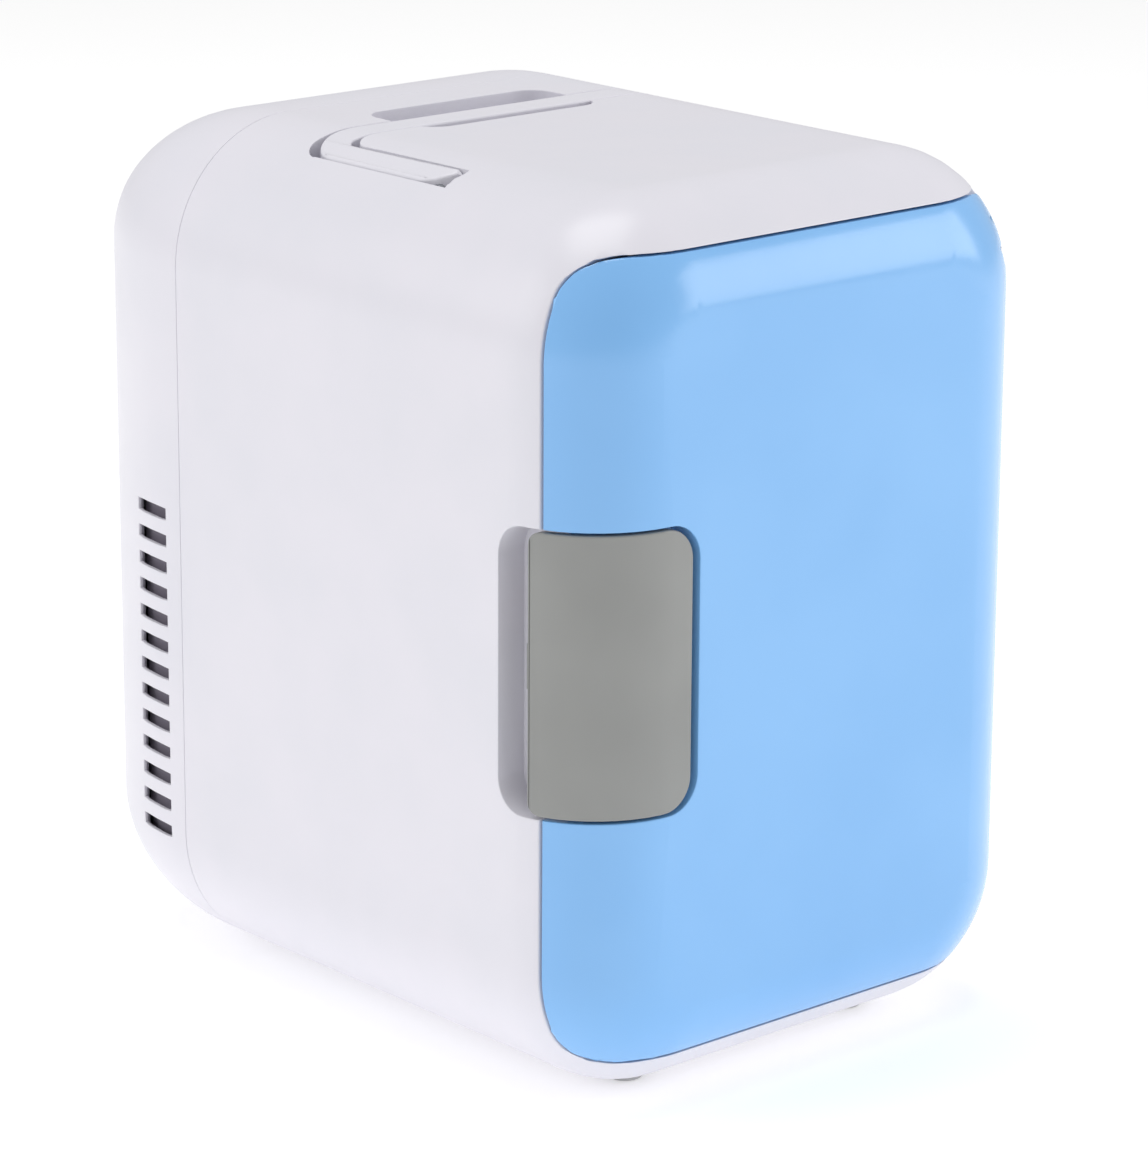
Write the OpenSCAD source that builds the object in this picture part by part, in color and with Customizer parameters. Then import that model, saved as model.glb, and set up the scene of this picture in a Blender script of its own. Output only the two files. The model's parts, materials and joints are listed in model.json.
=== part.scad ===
// Small thermoelectric fridge: a rounded cabinet with a hinged front door, a side latch,
// a fold-flat carry handle and a rear cover over the cooling module and its fan.
// Millimetres. +Z is up and the door faces -Y. The origin is on the floor, below the
// middle of the cabinet.

/* [Cabinet] */
// Width of the cabinet
body_w = 188; // [170:1:240]
// Depth of the cabinet, door included
body_d = 256; // [225:1:320]
// Height of the cabinet without its feet
body_h = 270; // [235:1:340]
// Radius of the four long edges
corner_r = 44; // [40:1:50]
// Radius that rolls the sides into the front face
front_r = 34; // [26:1:38]
// Tight radius beside the flat back
rear_r = 34; // [26:1:38]
// How far the rear rounding reaches in from the sides
rear_in = 42; // [39:1:43]
// Length of the rear rounding along the sides
rear_run = 60; // [50:1:64]
// Thickness of the moulded outer walls
wall = 2.5; // [2:0.1:3]
// Height of the feet below the cabinet
foot_h = 3; // [2.5:0.5:6]
// Radius of a foot
foot_r = 6; // [5:0.5:9]
// Depth of the rear cover
cover_d = 66; // [60:1:80]

/* [Insulated space] */
// Foam beside the cold space
foam_side = 22; // [15:1:24]
// Foam above and below the cold space
foam_end = 28; // [22:1:34]
// Foam behind the cold space
foam_rear = 22; // [18:1:30]
// Thickness of the inner liner
liner_t = 2; // [1.5:0.1:2.5]
// Width of the liner's front flange
flange_w = 6; // [4:0.5:8]
// Height of the shelf above the cabinet's underside
shelf_up = 134; // [110:1:150]
// Front to back length of the shelf
shelf_d = 92; // [60:1:96]
// Thickness of the shelf
shelf_t = 3; // [2:0.5:5]

/* [Door] */
// Depth of the door at its edges
door_d = 22; // [20:0.5:26]
// Height of the cabinet's lip above and below the door
lip_h = 14.5; // [12:0.5:18]
// Corner radius of the door's side outline
parting_r = 10; // [6:1:14]
// Gap between the door and the cabinet
gap = 0.7; // [0.5:0.1:1]
// Radius of the door's hinge edge about its pins
knuckle_r = 9; // [8:0.5:10]
// Radius of a hinge pin
hinge_pin_r = 2; // [1.5:0.1:2.2]
// Distance of the hinge ears from the cabinet's ends
ear_in = 34; // [30:1:50]
// Height of a hinge ear
ear_h = 5; // [4:0.5:8]
// Height of the door's inner panel step into the cold space
plug_d = 8.7; // [6:0.1:12]
// Height of the door basket
basket_h = 60; // [40:1:80]
// Depth of the door basket
basket_d = 26; // [18:1:30]

/* [Latch] */
// Height of the latch plate
latch_h = 85; // [60:1:110]
// Reach of the latch plate across the front from the cabinet's side
latch_w = 41.5; // [36:0.5:52]
// Thickness of the latch plate
latch_t = 2.5; // [2:0.1:3]
// How far the latch plate laps over the cabinet
latch_tail = 4; // [2:0.5:6]
// Depth of the pocket behind the latch plate
pocket_depth = 10; // [9:0.5:12]
// Length of the finger recess in the cabinet's side
recess_l = 15.5; // [12:0.5:20]
// Radius of the latch pin
latch_pin_r = 1.5; // [1:0.1:2]

/* [Carry handle] */
// Outer width of the handle
handle_w = 142; // [124:1:146]
// Width of each handle arm
arm_w = 8; // [6:0.5:9]
// Width of the hand grip
grip_w = 11.5; // [9:0.5:14]
// Thickness of the handle
handle_t = 8; // [6:0.5:9]
// Distance of the handle's pivots in front of the cabinet's middle
pivot_fwd = 34; // [24:1:44]
// Distance of the grip's rear edge behind the cabinet's middle
grip_back = 28; // [20:1:32]
// Depth of the finger trough under the grip
trough_depth = 16; // [12:1:18]

/* [Cooler] */
// Height of the cooler's middle above the cabinet's underside
cooler_up = 94.5; // [90:0.5:110]
// Size of the square cooling module
module_s = 40; // [30:1:44]
// Thickness of the cooling module
module_t = 3.8; // [3.2:0.1:5]
// Width of the heatsink
sink_w = 84; // [70:1:86]
// Height of the heatsink's finned part
sink_h = 110; // [90:1:116]
// Depth of the heatsink's fins
fin_d = 27; // [18:1:28]
// Number of heatsink fins
fin_n = 14; // [8:1:18]
// Side of the square fan
fan_s = 80; // [60:1:84]
// Thickness of the fan
fan_t = 25; // [20:1:25]
// Number of fan blades
blade_n = 7; // [5:1:9]
// Number of vent slots on each side
vent_n = 13; // [8:1:14]
// Spacing of the vent slots
vent_pitch = 8.7; // [8:0.1:10]
// Height of a vent slot
vent_h = 4; // [3:0.1:4.5]

/* [Controls] */
// Height of the sockets above the cooler's middle
socket_up = 101; // [96:1:106]
// Spacing of the sockets from the middle
socket_x = 29; // [26:1:30]
// Swing of the mode switch to each side, in degrees
rocker_deg = 10; // [6:1:12]

/* [Hidden] */
$fn = 96;

eps = 0.01;
far = 600;
slip = 0.2;      // clearance round fixed pieces
run = 0.05;      // radial running clearance of pins and shafts

// Outer form
front_y = -body_d / 2;
rear_y = body_d / 2;
mid_z = foot_h + body_h / 2;
top_z = foot_h + body_h;
half_x = body_w / 2 - corner_r;
half_z = body_h / 2 - corner_r;
rear_big_r = (pow(rear_run - rear_r, 2) + pow(rear_in, 2) - pow(rear_r, 2))
    / (2 * (rear_in - rear_r));

// Main planes, front to back
parting_y = front_y + door_d;
door_back_y = parting_y - gap;
seam_y = rear_y - cover_d;
frame_t = 2;
frame_y = seam_y - frame_t;
cold_y = frame_y - foam_rear - liner_t;
inner_rear_y = rear_y - wall;

// Feet stand under the flat of the underside
feet_x = half_x - 4;
feet_y = [front_y + front_r + 1, seam_y - 14];
foot_stud_r = 2.5;
foot_stud_l = 9;

// Lap joint between the rear cover and the cabinet
tongue_l = 5;
tongue_t = 1.6;

// Door opening and cold space
door_z0 = foot_h + lip_h;
door_z1 = top_z - lip_h;
cold_x = body_w / 2 - wall - foam_side - liner_t;
cold_z0 = foot_h + wall + foam_end + liner_t;
cold_z1 = top_z - wall - foam_end - liner_t;
cold_r = 12;
cooler_z = foot_h + cooler_up;
liner_flange = 1.5;

// Hinge: the pins stand where the door's hinge edge fits inside the knuckle circle
pin_y = door_back_y - knuckle_r;
pin_reach = corner_r - front_r + sqrt(pow(front_r, 2) - pow(front_y + front_r - pin_y, 2));
knuckle_out = 0.14;
pin_x = half_x + pin_reach - knuckle_r + knuckle_out;
ear_r = hinge_pin_r + 2.6;
pin_half_l = 10;
ears_z = [foot_h + ear_in, top_z - ear_in];
ear_gap = 0.4;
door_swing = 100;

// Latch
latch_x = -body_w / 2 + latch_w;
latch_gap = 0.8;
latch_pin_in = 5.5;
latch_pin_x = latch_x - latch_pin_in;
latch_pin_y = front_y + 6.5;
lug_r = latch_pin_r + 1.7;
lug_h = 6;
lug_up = latch_h * 0.35;
ear_up = lug_up + 8;
recess_depth = pocket_depth;
recess_y = parting_y + recess_l;
keeper_y = parting_y + 6;
keeper_x = -body_w / 2 + recess_depth;

// Carry handle
pivot_y = -pivot_fwd;
pivot_z = top_z - 7.6;
nose_r = 5.8;
handle_gap = 0.6;
nose_gap = 0.75;      // a little past the front of the well, so that the two never just touch
handle_pin_r = 1.5;
handle_pin_in = 8;
handle_r = 14;
well_corner_r = 8;
arm_x = handle_w / 2 - arm_w;
trough_x = handle_w / 4;
trough_back = 16;

// Cooler stack
sink_base_t = 5;
sink_tab_h = 14;
fan_y = inner_rear_y - fan_t;
fan_hole = fan_s / 2 - 4.25;
fan_bore = fan_s / 2 - 2;
hub_r = 16;
hub_t = 3.5;
tube_r = 5;
bearing_r = 3.5;
shaft_r = 1.5;
rotor_y0 = fan_y + hub_t + 1.5;
rotor_y1 = fan_y + fan_t - 3;
rotor_cap = 1.5;
screw_x = module_s / 2 + 8;
lead_x = -module_s / 2 + 6;
plate_t = 2;
plate_w = 104;
plate_h = 120;
seal_w = module_s + 10;
well_x = half_x;
well_z = half_z - 11;
well_r = 6;
well_floor = 2.5;
boss_l = 8;
well_y = seam_y + boss_l + slip;

// Circuit board and controls
socket_z = cooler_z + socket_up;
board_w = 80;
board_h = 56;
board_t = 1.6;
board_z = socket_z + 4;
board_y = rear_y - 36;
board_hole_x = board_w / 2 - 6;
board_hole_z = board_h / 2 - 5;
inlet_l = 22;
inlet_pin_x = 4.3;
inlet_pin_r = 1.2;
bezel_x = 13;
bezel_z = 8;
switch_l = 15;
socket_l = 20;
socket_r = 8;
socket_pin_r = 1.25;
rocker_r = 10.2;
rocker_h = 11;
rocker_y = rear_y - 6;
rocker_dip = 4.8 + rocker_r * sin(rocker_deg);
lamp_up = 18;
lamp_r = 2.5;
lamp_x = 7;

// Shelf and basket
shelf_z = foot_h + shelf_up;
shelf_front = cold_y - 6 - shelf_d;
rail_out = 2.5;
rail_h = 3.5;
plug_x = cold_x - 4.5;
plug_z0 = cold_z0 + 4.5;
plug_z1 = cold_z1 - 4.5;
plug_y = door_back_y + plug_d;
basket_x = cold_x - 11.5;
basket_z = plug_z0 + 3;
basket_t = 2;
basket_y = plug_y + 0.4;
hook_x = 36;
hook_w = 12;
hook_z = basket_z + basket_h - 16;
basket_lift = 6.5;

// Door panel
panel_t = 2;
gasket_w = 7.5;
door_screw_x = plug_x - 5;
door_screw_z = (plug_z1 - plug_z0) / 2 - 6;

// Colours
white = [0.88, 0.87, 0.91];
blue = [0.56, 0.77, 0.97];
grey = [0.63, 0.63, 0.61];
dark = [0.16, 0.16, 0.18];
steel = [0.75, 0.76, 0.78];
foam_white = [0.96, 0.95, 0.92];

// ---------- shared shapes ----------

// Rectangle with rounded corners, from corner to corner
module round_rect(x0, y0, x1, y1, r) {
    difference() {
        translate([x0, y0]) square([x1 - x0, y1 - y0]);
        for (sx = [0, 1], sy = [0, 1])
            translate([sx ? x1 - r : x0 + r, sy ? y1 - r : y0 + r])
                mirror([1 - sx, 0]) mirror([0, 1 - sy])
                    difference() {
                        square(r + 1);
                        circle(r);
                    }
    }
}

// Edge profile of the outer form, x is the distance out from the inner box, y is depth
module profile(inset) {
    difference() {
        translate([0, front_y + inset]) square([corner_r - inset, body_d - 2 * inset]);
        difference() {
            translate([corner_r - front_r, front_y - 1]) square([front_r + 1, front_r + 1]);
            translate([corner_r - front_r, front_y + front_r]) circle(front_r - inset);
        }
        difference() {
            translate([corner_r - rear_in, rear_y - rear_run]) square([rear_in + 1, rear_run + 1]);
            intersection() {
                translate([corner_r - rear_big_r, rear_y - rear_run]) circle(rear_big_r - inset);
                union() {
                    translate([corner_r - rear_in, rear_y - rear_r]) circle(rear_r - inset);
                    translate([corner_r - rear_big_r, rear_y - rear_run])
                        polygon([[0, 0], [far, 0],
                            [far, far * (rear_run - rear_r) / (rear_big_r - rear_in)]]);
                    translate([corner_r - rear_in - 5, rear_y - rear_run])
                        square([5, rear_run - inset]);
                }
            }
        }
    }
}

// Sweeps a profile round the four long edges
module round_the_edges() {
    for (turn = [0 : 3]) {
        across = turn % 2 == 0 ? half_x : half_z;
        along = turn % 2 == 0 ? half_z : half_x;
        translate([0, 0, mid_z]) rotate([0, 90 * turn, 0]) translate([across, 0, -along]) {
            rotate([-90, 0, 0]) rotate_extrude(angle = 90) children();
            linear_extrude(2 * along) children();
        }
    }
}

// Part of the outer form between two depths, shrunk by an inset
module form(inset, y0, y1) {
    round_the_edges() intersection() {
        profile(inset);
        translate([-1, y0]) square([corner_r + 2, y1 - y0]);
    }
    back = min(y1, rear_y - inset);
    front = max(y0, front_y + inset);
    translate([-half_x, front, mid_z - half_z]) cube([2 * half_x, back - front, 2 * half_z]);
}

// Extrudes an outline drawn in depth and height from one x to another
module along_x(x0, x1) {
    translate([x0, 0, 0]) rotate([90, 0, 90]) linear_extrude(x1 - x0) children();
}

// Extrudes an outline drawn in width and height from one depth to another
module along_y(y0, y1) {
    translate([0, y1, 0]) rotate([90, 0, 0]) linear_extrude(y1 - y0) children();
}

module rod_x(x0, x1, r) {
    translate([x0, 0, 0]) rotate([0, 90, 0]) cylinder(h = x1 - x0, r = r);
}

module rod_y(y0, y1, r) {
    translate([0, y0, 0]) rotate([-90, 0, 0]) cylinder(h = y1 - y0, r = r);
}

// Copies at the four corners of a rectangle seen from the front
module four(x, z, centre_z) {
    for (sx = [-1, 1], sz = [-1, 1]) translate([sx * x, 0, centre_z + sz * z]) children();
}

// A copy on each side of the middle
module both_sides() {
    for (side = [0, 1]) mirror([side, 0, 0]) children();
}

// A screw along +Y with its head at the front
module screw(length, r, head_r, head_h) {
    rod_y(0, head_h, head_r);
    rod_y(head_h - eps, head_h + length, r);
}

// Points of a route with each bend replaced by a curve
function bend(a, b, c, t) = (1 - t) * (1 - t) * a + 2 * t * (1 - t) * b + t * t * c;
function soften(p) = concat([p[0]],
    [for (i = [1 : len(p) - 2]) for (t = [0 : 0.2 : 1])
        bend((p[i - 1] + p[i]) / 2, p[i], (p[i] + p[i + 1]) / 2, t)],
    [p[len(p) - 1]]);

// A round wire swept along a list of points, with flat ends
module wire(p, r) {
    sides = 8;
    n = len(p);
    dirs = [for (i = [0 : n - 1]) let(d = p[min(i + 1, n - 1)] - p[max(i - 1, 0)]) d / norm(d)];
    rings = [for (i = [0 : n - 1])
        let(
            ref = abs(dirs[i].x) < 0.7 ? [1, 0, 0] : [0, 0, 1],
            u = cross(dirs[i], ref) / norm(cross(dirs[i], ref)),
            v = cross(dirs[i], u))
        for (k = [0 : sides - 1]) p[i] + r * (cos(360 * k / sides) * u + sin(360 * k / sides) * v)];
    polyhedron(rings, concat(
        [[for (k = [0 : sides - 1]) k]],
        [for (i = [0 : n - 2]) for (k = [0 : sides - 1])
            for (face = let(a = i * sides + k, b = i * sides + (k + 1) % sides)
                [[a, a + sides, b + sides], [a, b + sides, b]]) face],
        [[for (k = [sides - 1 : -1 : 0]) (n - 1) * sides + k]]));
}

// ---------- spaces that several pieces share ----------

// Side outline of the door, grown all round
module door_outline(grow) {
    round_rect(front_y - far, door_z0 - grow, door_back_y + grow, door_z1 + grow,
        parting_r + grow);
}

// Plan of the corner beyond the knuckle circle on the hinge side
module beyond_knuckle(r) {
    linear_extrude(far) difference() {
        translate([pin_x, pin_y]) square([body_w, door_d]);
        translate([pin_x, pin_y]) circle(r);
    }
}

// Room behind and under the latch plate, open to the outside
module latch_pocket(grow) {
    difference() {
        along_y(front_y - 1, recess_y)
            round_rect(-body_w, mid_z - latch_h / 2 - latch_gap - grow,
                latch_x + 2.6 + grow, mid_z + latch_h / 2 + latch_gap + grow, 11 + grow);
        form(pocket_depth + grow, front_y, seam_y);
    }
}

// Finger recess in the cabinet's left side
module finger_recess(grow) {
    difference() {
        along_x(-body_w, 0)
            round_rect(front_y, mid_z - latch_h / 2 - latch_gap - grow,
                recess_y + grow, mid_z + latch_h / 2 + latch_gap + grow, 10 + grow);
        form(recess_depth + grow, front_y, seam_y);
    }
}

// Plan of the handle, a U open towards the front
module handle_plan(grow, outer_r, inner_r) {
    difference() {
        round_rect(-handle_w / 2 - grow, pivot_y - nose_r - grow, handle_w / 2 + grow,
            grip_back + grow, outer_r);
        round_rect(-arm_x + grow, -body_d, arm_x - grow, grip_back - grip_w - grow, inner_r);
    }
}

// Well in the top for the handle, with a trough for the fingers
module handle_well(grow) {
    difference() {
        translate([0, 0, mid_z]) linear_extrude(body_h)
            handle_plan(handle_gap + grow, well_corner_r + grow, well_corner_r);
        form(handle_t + handle_gap + grow, front_y, rear_y);
    }
    both_sides() translate([0, pivot_y, pivot_z])
        rod_x(arm_x - handle_gap - grow, handle_w / 2 + handle_gap + grow, nose_r + nose_gap + grow);
    difference() {
        translate([0, 0, mid_z]) linear_extrude(body_h)
            round_rect(-trough_x - grow, grip_back - grip_w - 6 - grow, trough_x + grow,
                grip_back + trough_back + grow, 9 + grow);
        form(trough_depth + grow, front_y, rear_y);
    }
}

// Hinge ears with their arms, grown for the space that they need
module hinge_ears(grow) {
    for (z = ears_z) translate([pin_x, pin_y, z - ear_h / 2 - grow]) {
        cylinder(h = ear_h + 2 * grow, r = ear_r + grow);
        translate([-ear_r - grow, 0, 0])
            cube([ear_r + grow, parting_y - pin_y + wall, ear_h + 2 * grow]);
    }
}

// Space that the hinge ears sweep through in the door
module ear_sweep() {
    low = door_swing - 89;
    reach = 2 * knuckle_r;
    for (z = ears_z) translate([pin_x, pin_y, z - ear_h / 2 - ear_gap])
        linear_extrude(ear_h + 2 * ear_gap) {
            circle(ear_r + ear_gap);
            polygon([[-ear_r - ear_gap, 0], [-ear_r - ear_gap, reach], [reach, reach],
                [reach, -reach * tan(low)], [0, 0]]);
        }
}

// Inside of the cabinet shell, shrunk by a clearance
module cabinet_inside(clear, y1) {
    t = wall + clear;
    difference() {
        form(t, parting_y + t, y1);
        finger_recess(t);
        handle_well(t);
        both_sides() translate([0, pivot_y, pivot_z])
            rod_x(arm_x - handle_pin_in - 2 - clear, arm_x, handle_pin_r + 2 + clear);
        for (sx = [-1, 1], y = feet_y) translate([sx * feet_x, y, 0])
            cylinder(h = foot_h + foot_stud_l + 2 + clear, r = 2 * foot_stud_r + clear);
    }
}

// Inside of the door shell, shrunk by a clearance
module door_inside(clear) {
    t = wall + clear;
    difference() {
        intersection() {
            form(t, front_y, parting_y);
            along_x(-body_w, body_w) door_outline(-t);
        }
        beyond_knuckle(knuckle_r - t);
        latch_pocket(t);
        for (z = ears_z) translate([pin_x, pin_y, z]) {
            translate([0, 0, -pin_half_l - 8])
                cylinder(h = 2 * pin_half_l + 16, r = ear_r + 1.4 + clear);
            translate([-ear_r - ear_gap - t, 0, -ear_h / 2 - ear_gap - t])
                cube([body_w, door_d, ear_h + 2 * ear_gap + 2 * t]);
        }
        four(door_screw_x, door_screw_z, mid_z) rod_y(front_y, parting_y, 4 + clear);
    }
}

// ---------- cabinet ----------

module cabinet_shell() {
    color(white) difference() {
        union() {
            difference() {
                form(0, front_y, seam_y);
                difference() {
                    along_x(-body_w, body_w) door_outline(gap);
                    beyond_knuckle(knuckle_r + gap);
                }
                translate([pin_x, pin_y, door_z0 - gap])
                    cylinder(h = door_z1 - door_z0 + 2 * gap, r = knuckle_r + gap);
                cabinet_inside(0, seam_y + 1);
            }
            hinge_ears(0);
        }
        finger_recess(0);
        handle_well(0);
        along_y(parting_y - 1, parting_y + wall + 1)
            round_rect(-cold_x - liner_t - slip, cold_z0 - liner_t - slip,
                cold_x + liner_t + slip, cold_z1 + liner_t + slip, cold_r + liner_t + slip);
        along_y(parting_y - 1, parting_y + liner_flange)
            round_rect(-cold_x - flange_w - slip, cold_z0 - flange_w - slip,
                cold_x + flange_w + slip, cold_z1 + flange_w + slip, cold_r + flange_w + slip);
        for (z = ears_z) translate([pin_x, pin_y, z - ear_h]) cylinder(h = 2 * ear_h, r = hinge_pin_r);
        both_sides() translate([0, pivot_y, pivot_z]) rod_x(arm_x - handle_pin_in, arm_x + 1, handle_pin_r);
        for (sx = [-1, 1], y = feet_y) translate([sx * feet_x, y, 0])
            cylinder(h = foot_h + foot_stud_l + 0.5, r = foot_stud_r);
    }
}

// Foot with a rounded rim and a stud that presses into the cabinet
module feet() {
    rim = 1.5;
    color(grey) for (sx = [-1, 1], y = feet_y) translate([sx * feet_x, y, 0]) {
        rotate_extrude() {
            square([foot_r - rim, foot_h]);
            translate([0, rim]) square([foot_r, foot_h - rim]);
            translate([foot_r - rim, rim]) circle(rim);
        }
        cylinder(h = foot_h + foot_stud_l, r = foot_stud_r);
    }
}

// Rear cover with its vents, fan grille, socket holes and screw wells
module rear_cover() {
    color(white) difference() {
        union() {
            difference() {
                form(0, seam_y, rear_y);
                form(wall, seam_y - 1, rear_y);
            }
            difference() {
                union() {
                    form(wall + slip, seam_y - tongue_l, seam_y);
                    form(wall - 0.5, seam_y, seam_y + 3);
                }
                form(wall + slip + tongue_t, seam_y - tongue_l - 1, seam_y + 4);
            }
            four(well_x, well_z, mid_z) rod_y(well_y, rear_y - 1, well_r);
            four(board_hole_x, board_hole_z, board_z) rod_y(board_y + board_t, rear_y - 1, 3.5);
        }
        four(well_x, well_z, mid_z) {
            rod_y(seam_y, rear_y, 1.9);
            rod_y(well_y + well_floor, rear_y + 1, well_r - 1.8);
        }
        four(board_hole_x, board_hole_z, board_z) rod_y(board_y, rear_y - 8, 1.25);
        vents();
        fan_grille();
        four(fan_hole, fan_hole, cooler_z) {
            rod_y(rear_y - wall - 1, rear_y + 1, 2);
            rod_y(rear_y - 1.5, rear_y + 1, 3.4);
        }
        translate([socket_x, 0, socket_z]) along_y(rear_y - wall - 1, rear_y + 1)
            round_rect(-bezel_x - slip, -bezel_z - slip, bezel_x + slip, bezel_z + slip, 3);
        translate([-socket_x, 0, socket_z]) rod_y(rear_y - wall - 1, rear_y + 1, socket_r + slip);
        translate([0, 0, socket_z]) along_y(rear_y - wall - 1, rear_y + 1)
            round_rect(-bezel_x - slip, -bezel_z - slip, bezel_x + slip, bezel_z + slip, 1.5);
        for (sx = [-1, 1]) translate([sx * lamp_x, 0, socket_z + lamp_up])
            rod_y(rear_y - wall - 1, rear_y + 1, lamp_r + slip / 2);
    }
}

module vents() {
    for (i = [0 : vent_n - 1], sx = [-1, 1])
        translate([sx * body_w / 2, seam_y + 7.5, cooler_z + (i - (vent_n - 1) / 2) * vent_pitch])
            translate([-10, 0, -vent_h / 2]) cube([20, 17.5, vent_h]);
}

module fan_grille() {
    spoke = 3;
    difference() {
        translate([0, 0, cooler_z]) for (r = [9 : 6 : fan_bore - 4]) difference() {
            rod_y(rear_y - wall - 1, rear_y + 1, r + 3.4);
            rod_y(rear_y - wall - 2, rear_y + 2, r);
        }
        for (turn = [0 : 60 : 120]) translate([0, 0, cooler_z]) rotate([0, turn, 0])
            translate([-fan_s, rear_y - wall - 3, -spoke / 2]) cube([2 * fan_s, wall + 6, spoke]);
    }
}

// Plate across the cabinet's rear that holds the foam in and takes the cover's screws
module mid_frame() {
    color(white) difference() {
        union() {
            form(wall + 2 * slip + tongue_t, frame_y, seam_y);
            four(well_x, well_z, mid_z) rod_y(seam_y - 1, seam_y + boss_l, well_r - 1);
        }
        translate([-seal_w / 2 - slip, frame_y - 1, cooler_z - seal_w / 2 - slip])
            cube([seal_w + 2 * slip, frame_t + 2, seal_w + 2 * slip]);
        four(well_x, well_z, mid_z) rod_y(frame_y - 1, seam_y + boss_l + 1, 1.55);
        for (sx = [-1, 1]) translate([sx * screw_x, 0, cooler_z]) rod_y(frame_y - 1, seam_y + 1, 2);
        lead_channel();
    }
}

// Channel for the cooling module's lead, up past the heatsink's top
module lead_channel() {
    translate([lead_x - 2, frame_y - 1, cooler_z])
        cube([4, frame_t + 2, sink_h / 2 + sink_tab_h + 12]);
}

// Open-fronted tub that makes the cold space, with ribs that carry the shelf
module inner_liner() {
    color(foam_white) {
        difference() {
            union() {
                along_y(parting_y, cold_y + liner_t)
                    round_rect(-cold_x - liner_t, cold_z0 - liner_t, cold_x + liner_t,
                        cold_z1 + liner_t, cold_r + liner_t);
                along_y(parting_y, parting_y + liner_flange)
                    round_rect(-cold_x - flange_w, cold_z0 - flange_w, cold_x + flange_w,
                        cold_z1 + flange_w, cold_r + flange_w);
            }
            along_y(parting_y - 1, cold_y) round_rect(-cold_x, cold_z0, cold_x, cold_z1, cold_r);
            translate([-module_s / 2 - 1, cold_y - 1, cooler_z - module_s / 2 - 1])
                cube([module_s + 2, liner_t + 2, module_s + 2]);
            for (sx = [-1, 1]) translate([sx * screw_x, 0, cooler_z])
                rod_y(cold_y - 1, cold_y + liner_t + 1, 2);
        }
        for (sx = [0, 1], z = [shelf_z - rail_h - 0.4, shelf_z + shelf_t + 0.4])
            mirror([sx, 0, 0]) translate([cold_x - rail_out, shelf_front - 6, z])
                cube([rail_out + liner_t / 2, cold_y - shelf_front + 6 + liner_t / 2, rail_h]);
    }
}

module cabinet_foam() {
    color(foam_white) difference() {
        cabinet_inside(slip, frame_y);
        along_y(parting_y - 1, cold_y + liner_t + slip)
            round_rect(-cold_x - liner_t - slip, cold_z0 - liner_t - slip,
                cold_x + liner_t + slip, cold_z1 + liner_t + slip, cold_r + liner_t + slip);
        translate([-module_s / 2 - slip, cold_y, cooler_z - module_s / 2 - slip])
            cube([module_s + 2 * slip, foam_rear + 8, module_s + 2 * slip]);
        for (sx = [-1, 1]) translate([sx * screw_x, 0, cooler_z]) rod_y(cold_y, frame_y + 1, 2);
        difference() {
            form(wall - 1, seam_y - tongue_l - 0.5, seam_y);
            form(wall + 2 * slip + tongue_t, seam_y - tongue_l - 1, seam_y + 1);
        }
    }
}

// ---------- cooler ----------

module cold_plate() {
    color(steel) difference() {
        along_y(cold_y - plate_t, cold_y)
            round_rect(-plate_w / 2, cooler_z - plate_h / 2, plate_w / 2, cooler_z + plate_h / 2, 6);
        for (sx = [-1, 1]) translate([sx * screw_x, 0, cooler_z])
            rod_y(cold_y - plate_t - 1, cold_y + 1, 1.5 + run);
    }
}

module clamp_screws() {
    color(steel) for (sx = [-1, 1]) translate([sx * screw_x, cold_y - plate_t - 2.4, cooler_z])
        screw(seam_y + sink_base_t - 0.5 - cold_y + plate_t, 1.5, 3.2, 2.4);
}

module cold_block() {
    color(steel) translate([-module_s / 2, cold_y, cooler_z - module_s / 2])
        cube([module_s, seam_y - module_t - cold_y, module_s]);
}

module cooling_module() {
    s = module_s;
    y = seam_y - module_t;
    color(foam_white) for (side = [y, seam_y - 0.8])
        translate([-s / 2, side, cooler_z - s / 2]) cube([s, 0.8, s]);
    color(dark) translate([-s / 2 + 1, y + 0.8 - eps, cooler_z - s / 2 + 1])
        cube([s - 2, module_t - 1.6 + 2 * eps, s - 2]);
}

module module_seal() {
    color(dark) difference() {
        translate([-seal_w / 2, frame_y, cooler_z - seal_w / 2]) cube([seal_w, frame_t, seal_w]);
        translate([-module_s / 2 - slip, frame_y - 1, cooler_z - module_s / 2 - slip])
            cube([module_s + 2 * slip, frame_t + 2, module_s + 2 * slip]);
        lead_channel();
    }
}

// Finned heatsink: the fins lie flat so that the fan's air leaves at the side vents
module heatsink() {
    fin_t = 1.6;
    step = (sink_h - fin_t) / (fin_n - 1);
    color(steel) {
        difference() {
            translate([-sink_w / 2, seam_y, cooler_z - sink_h / 2])
                cube([sink_w, sink_base_t, sink_h + sink_tab_h]);
            for (sx = [-1, 1]) translate([sx * screw_x, 0, cooler_z])
                rod_y(seam_y - 1, seam_y + sink_base_t + 1, 1.5 + run);
        }
        for (i = [0 : fin_n - 1])
            translate([-sink_w / 2, seam_y + sink_base_t - eps, cooler_z - sink_h / 2 + i * step])
                cube([sink_w, fin_d, fin_t]);
    }
}

module thermal_cutout() {
    color(dark) translate([20, seam_y + sink_base_t, cooler_z + sink_h / 2 + sink_tab_h / 2]) {
        rod_y(0, 5, 5.5);
        for (sx = [-1, 1]) translate([sx * 3 - 0.4, 4.5, -2]) cube([0.8, 6, 4]);
    }
}

// ---------- fan ----------

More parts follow.
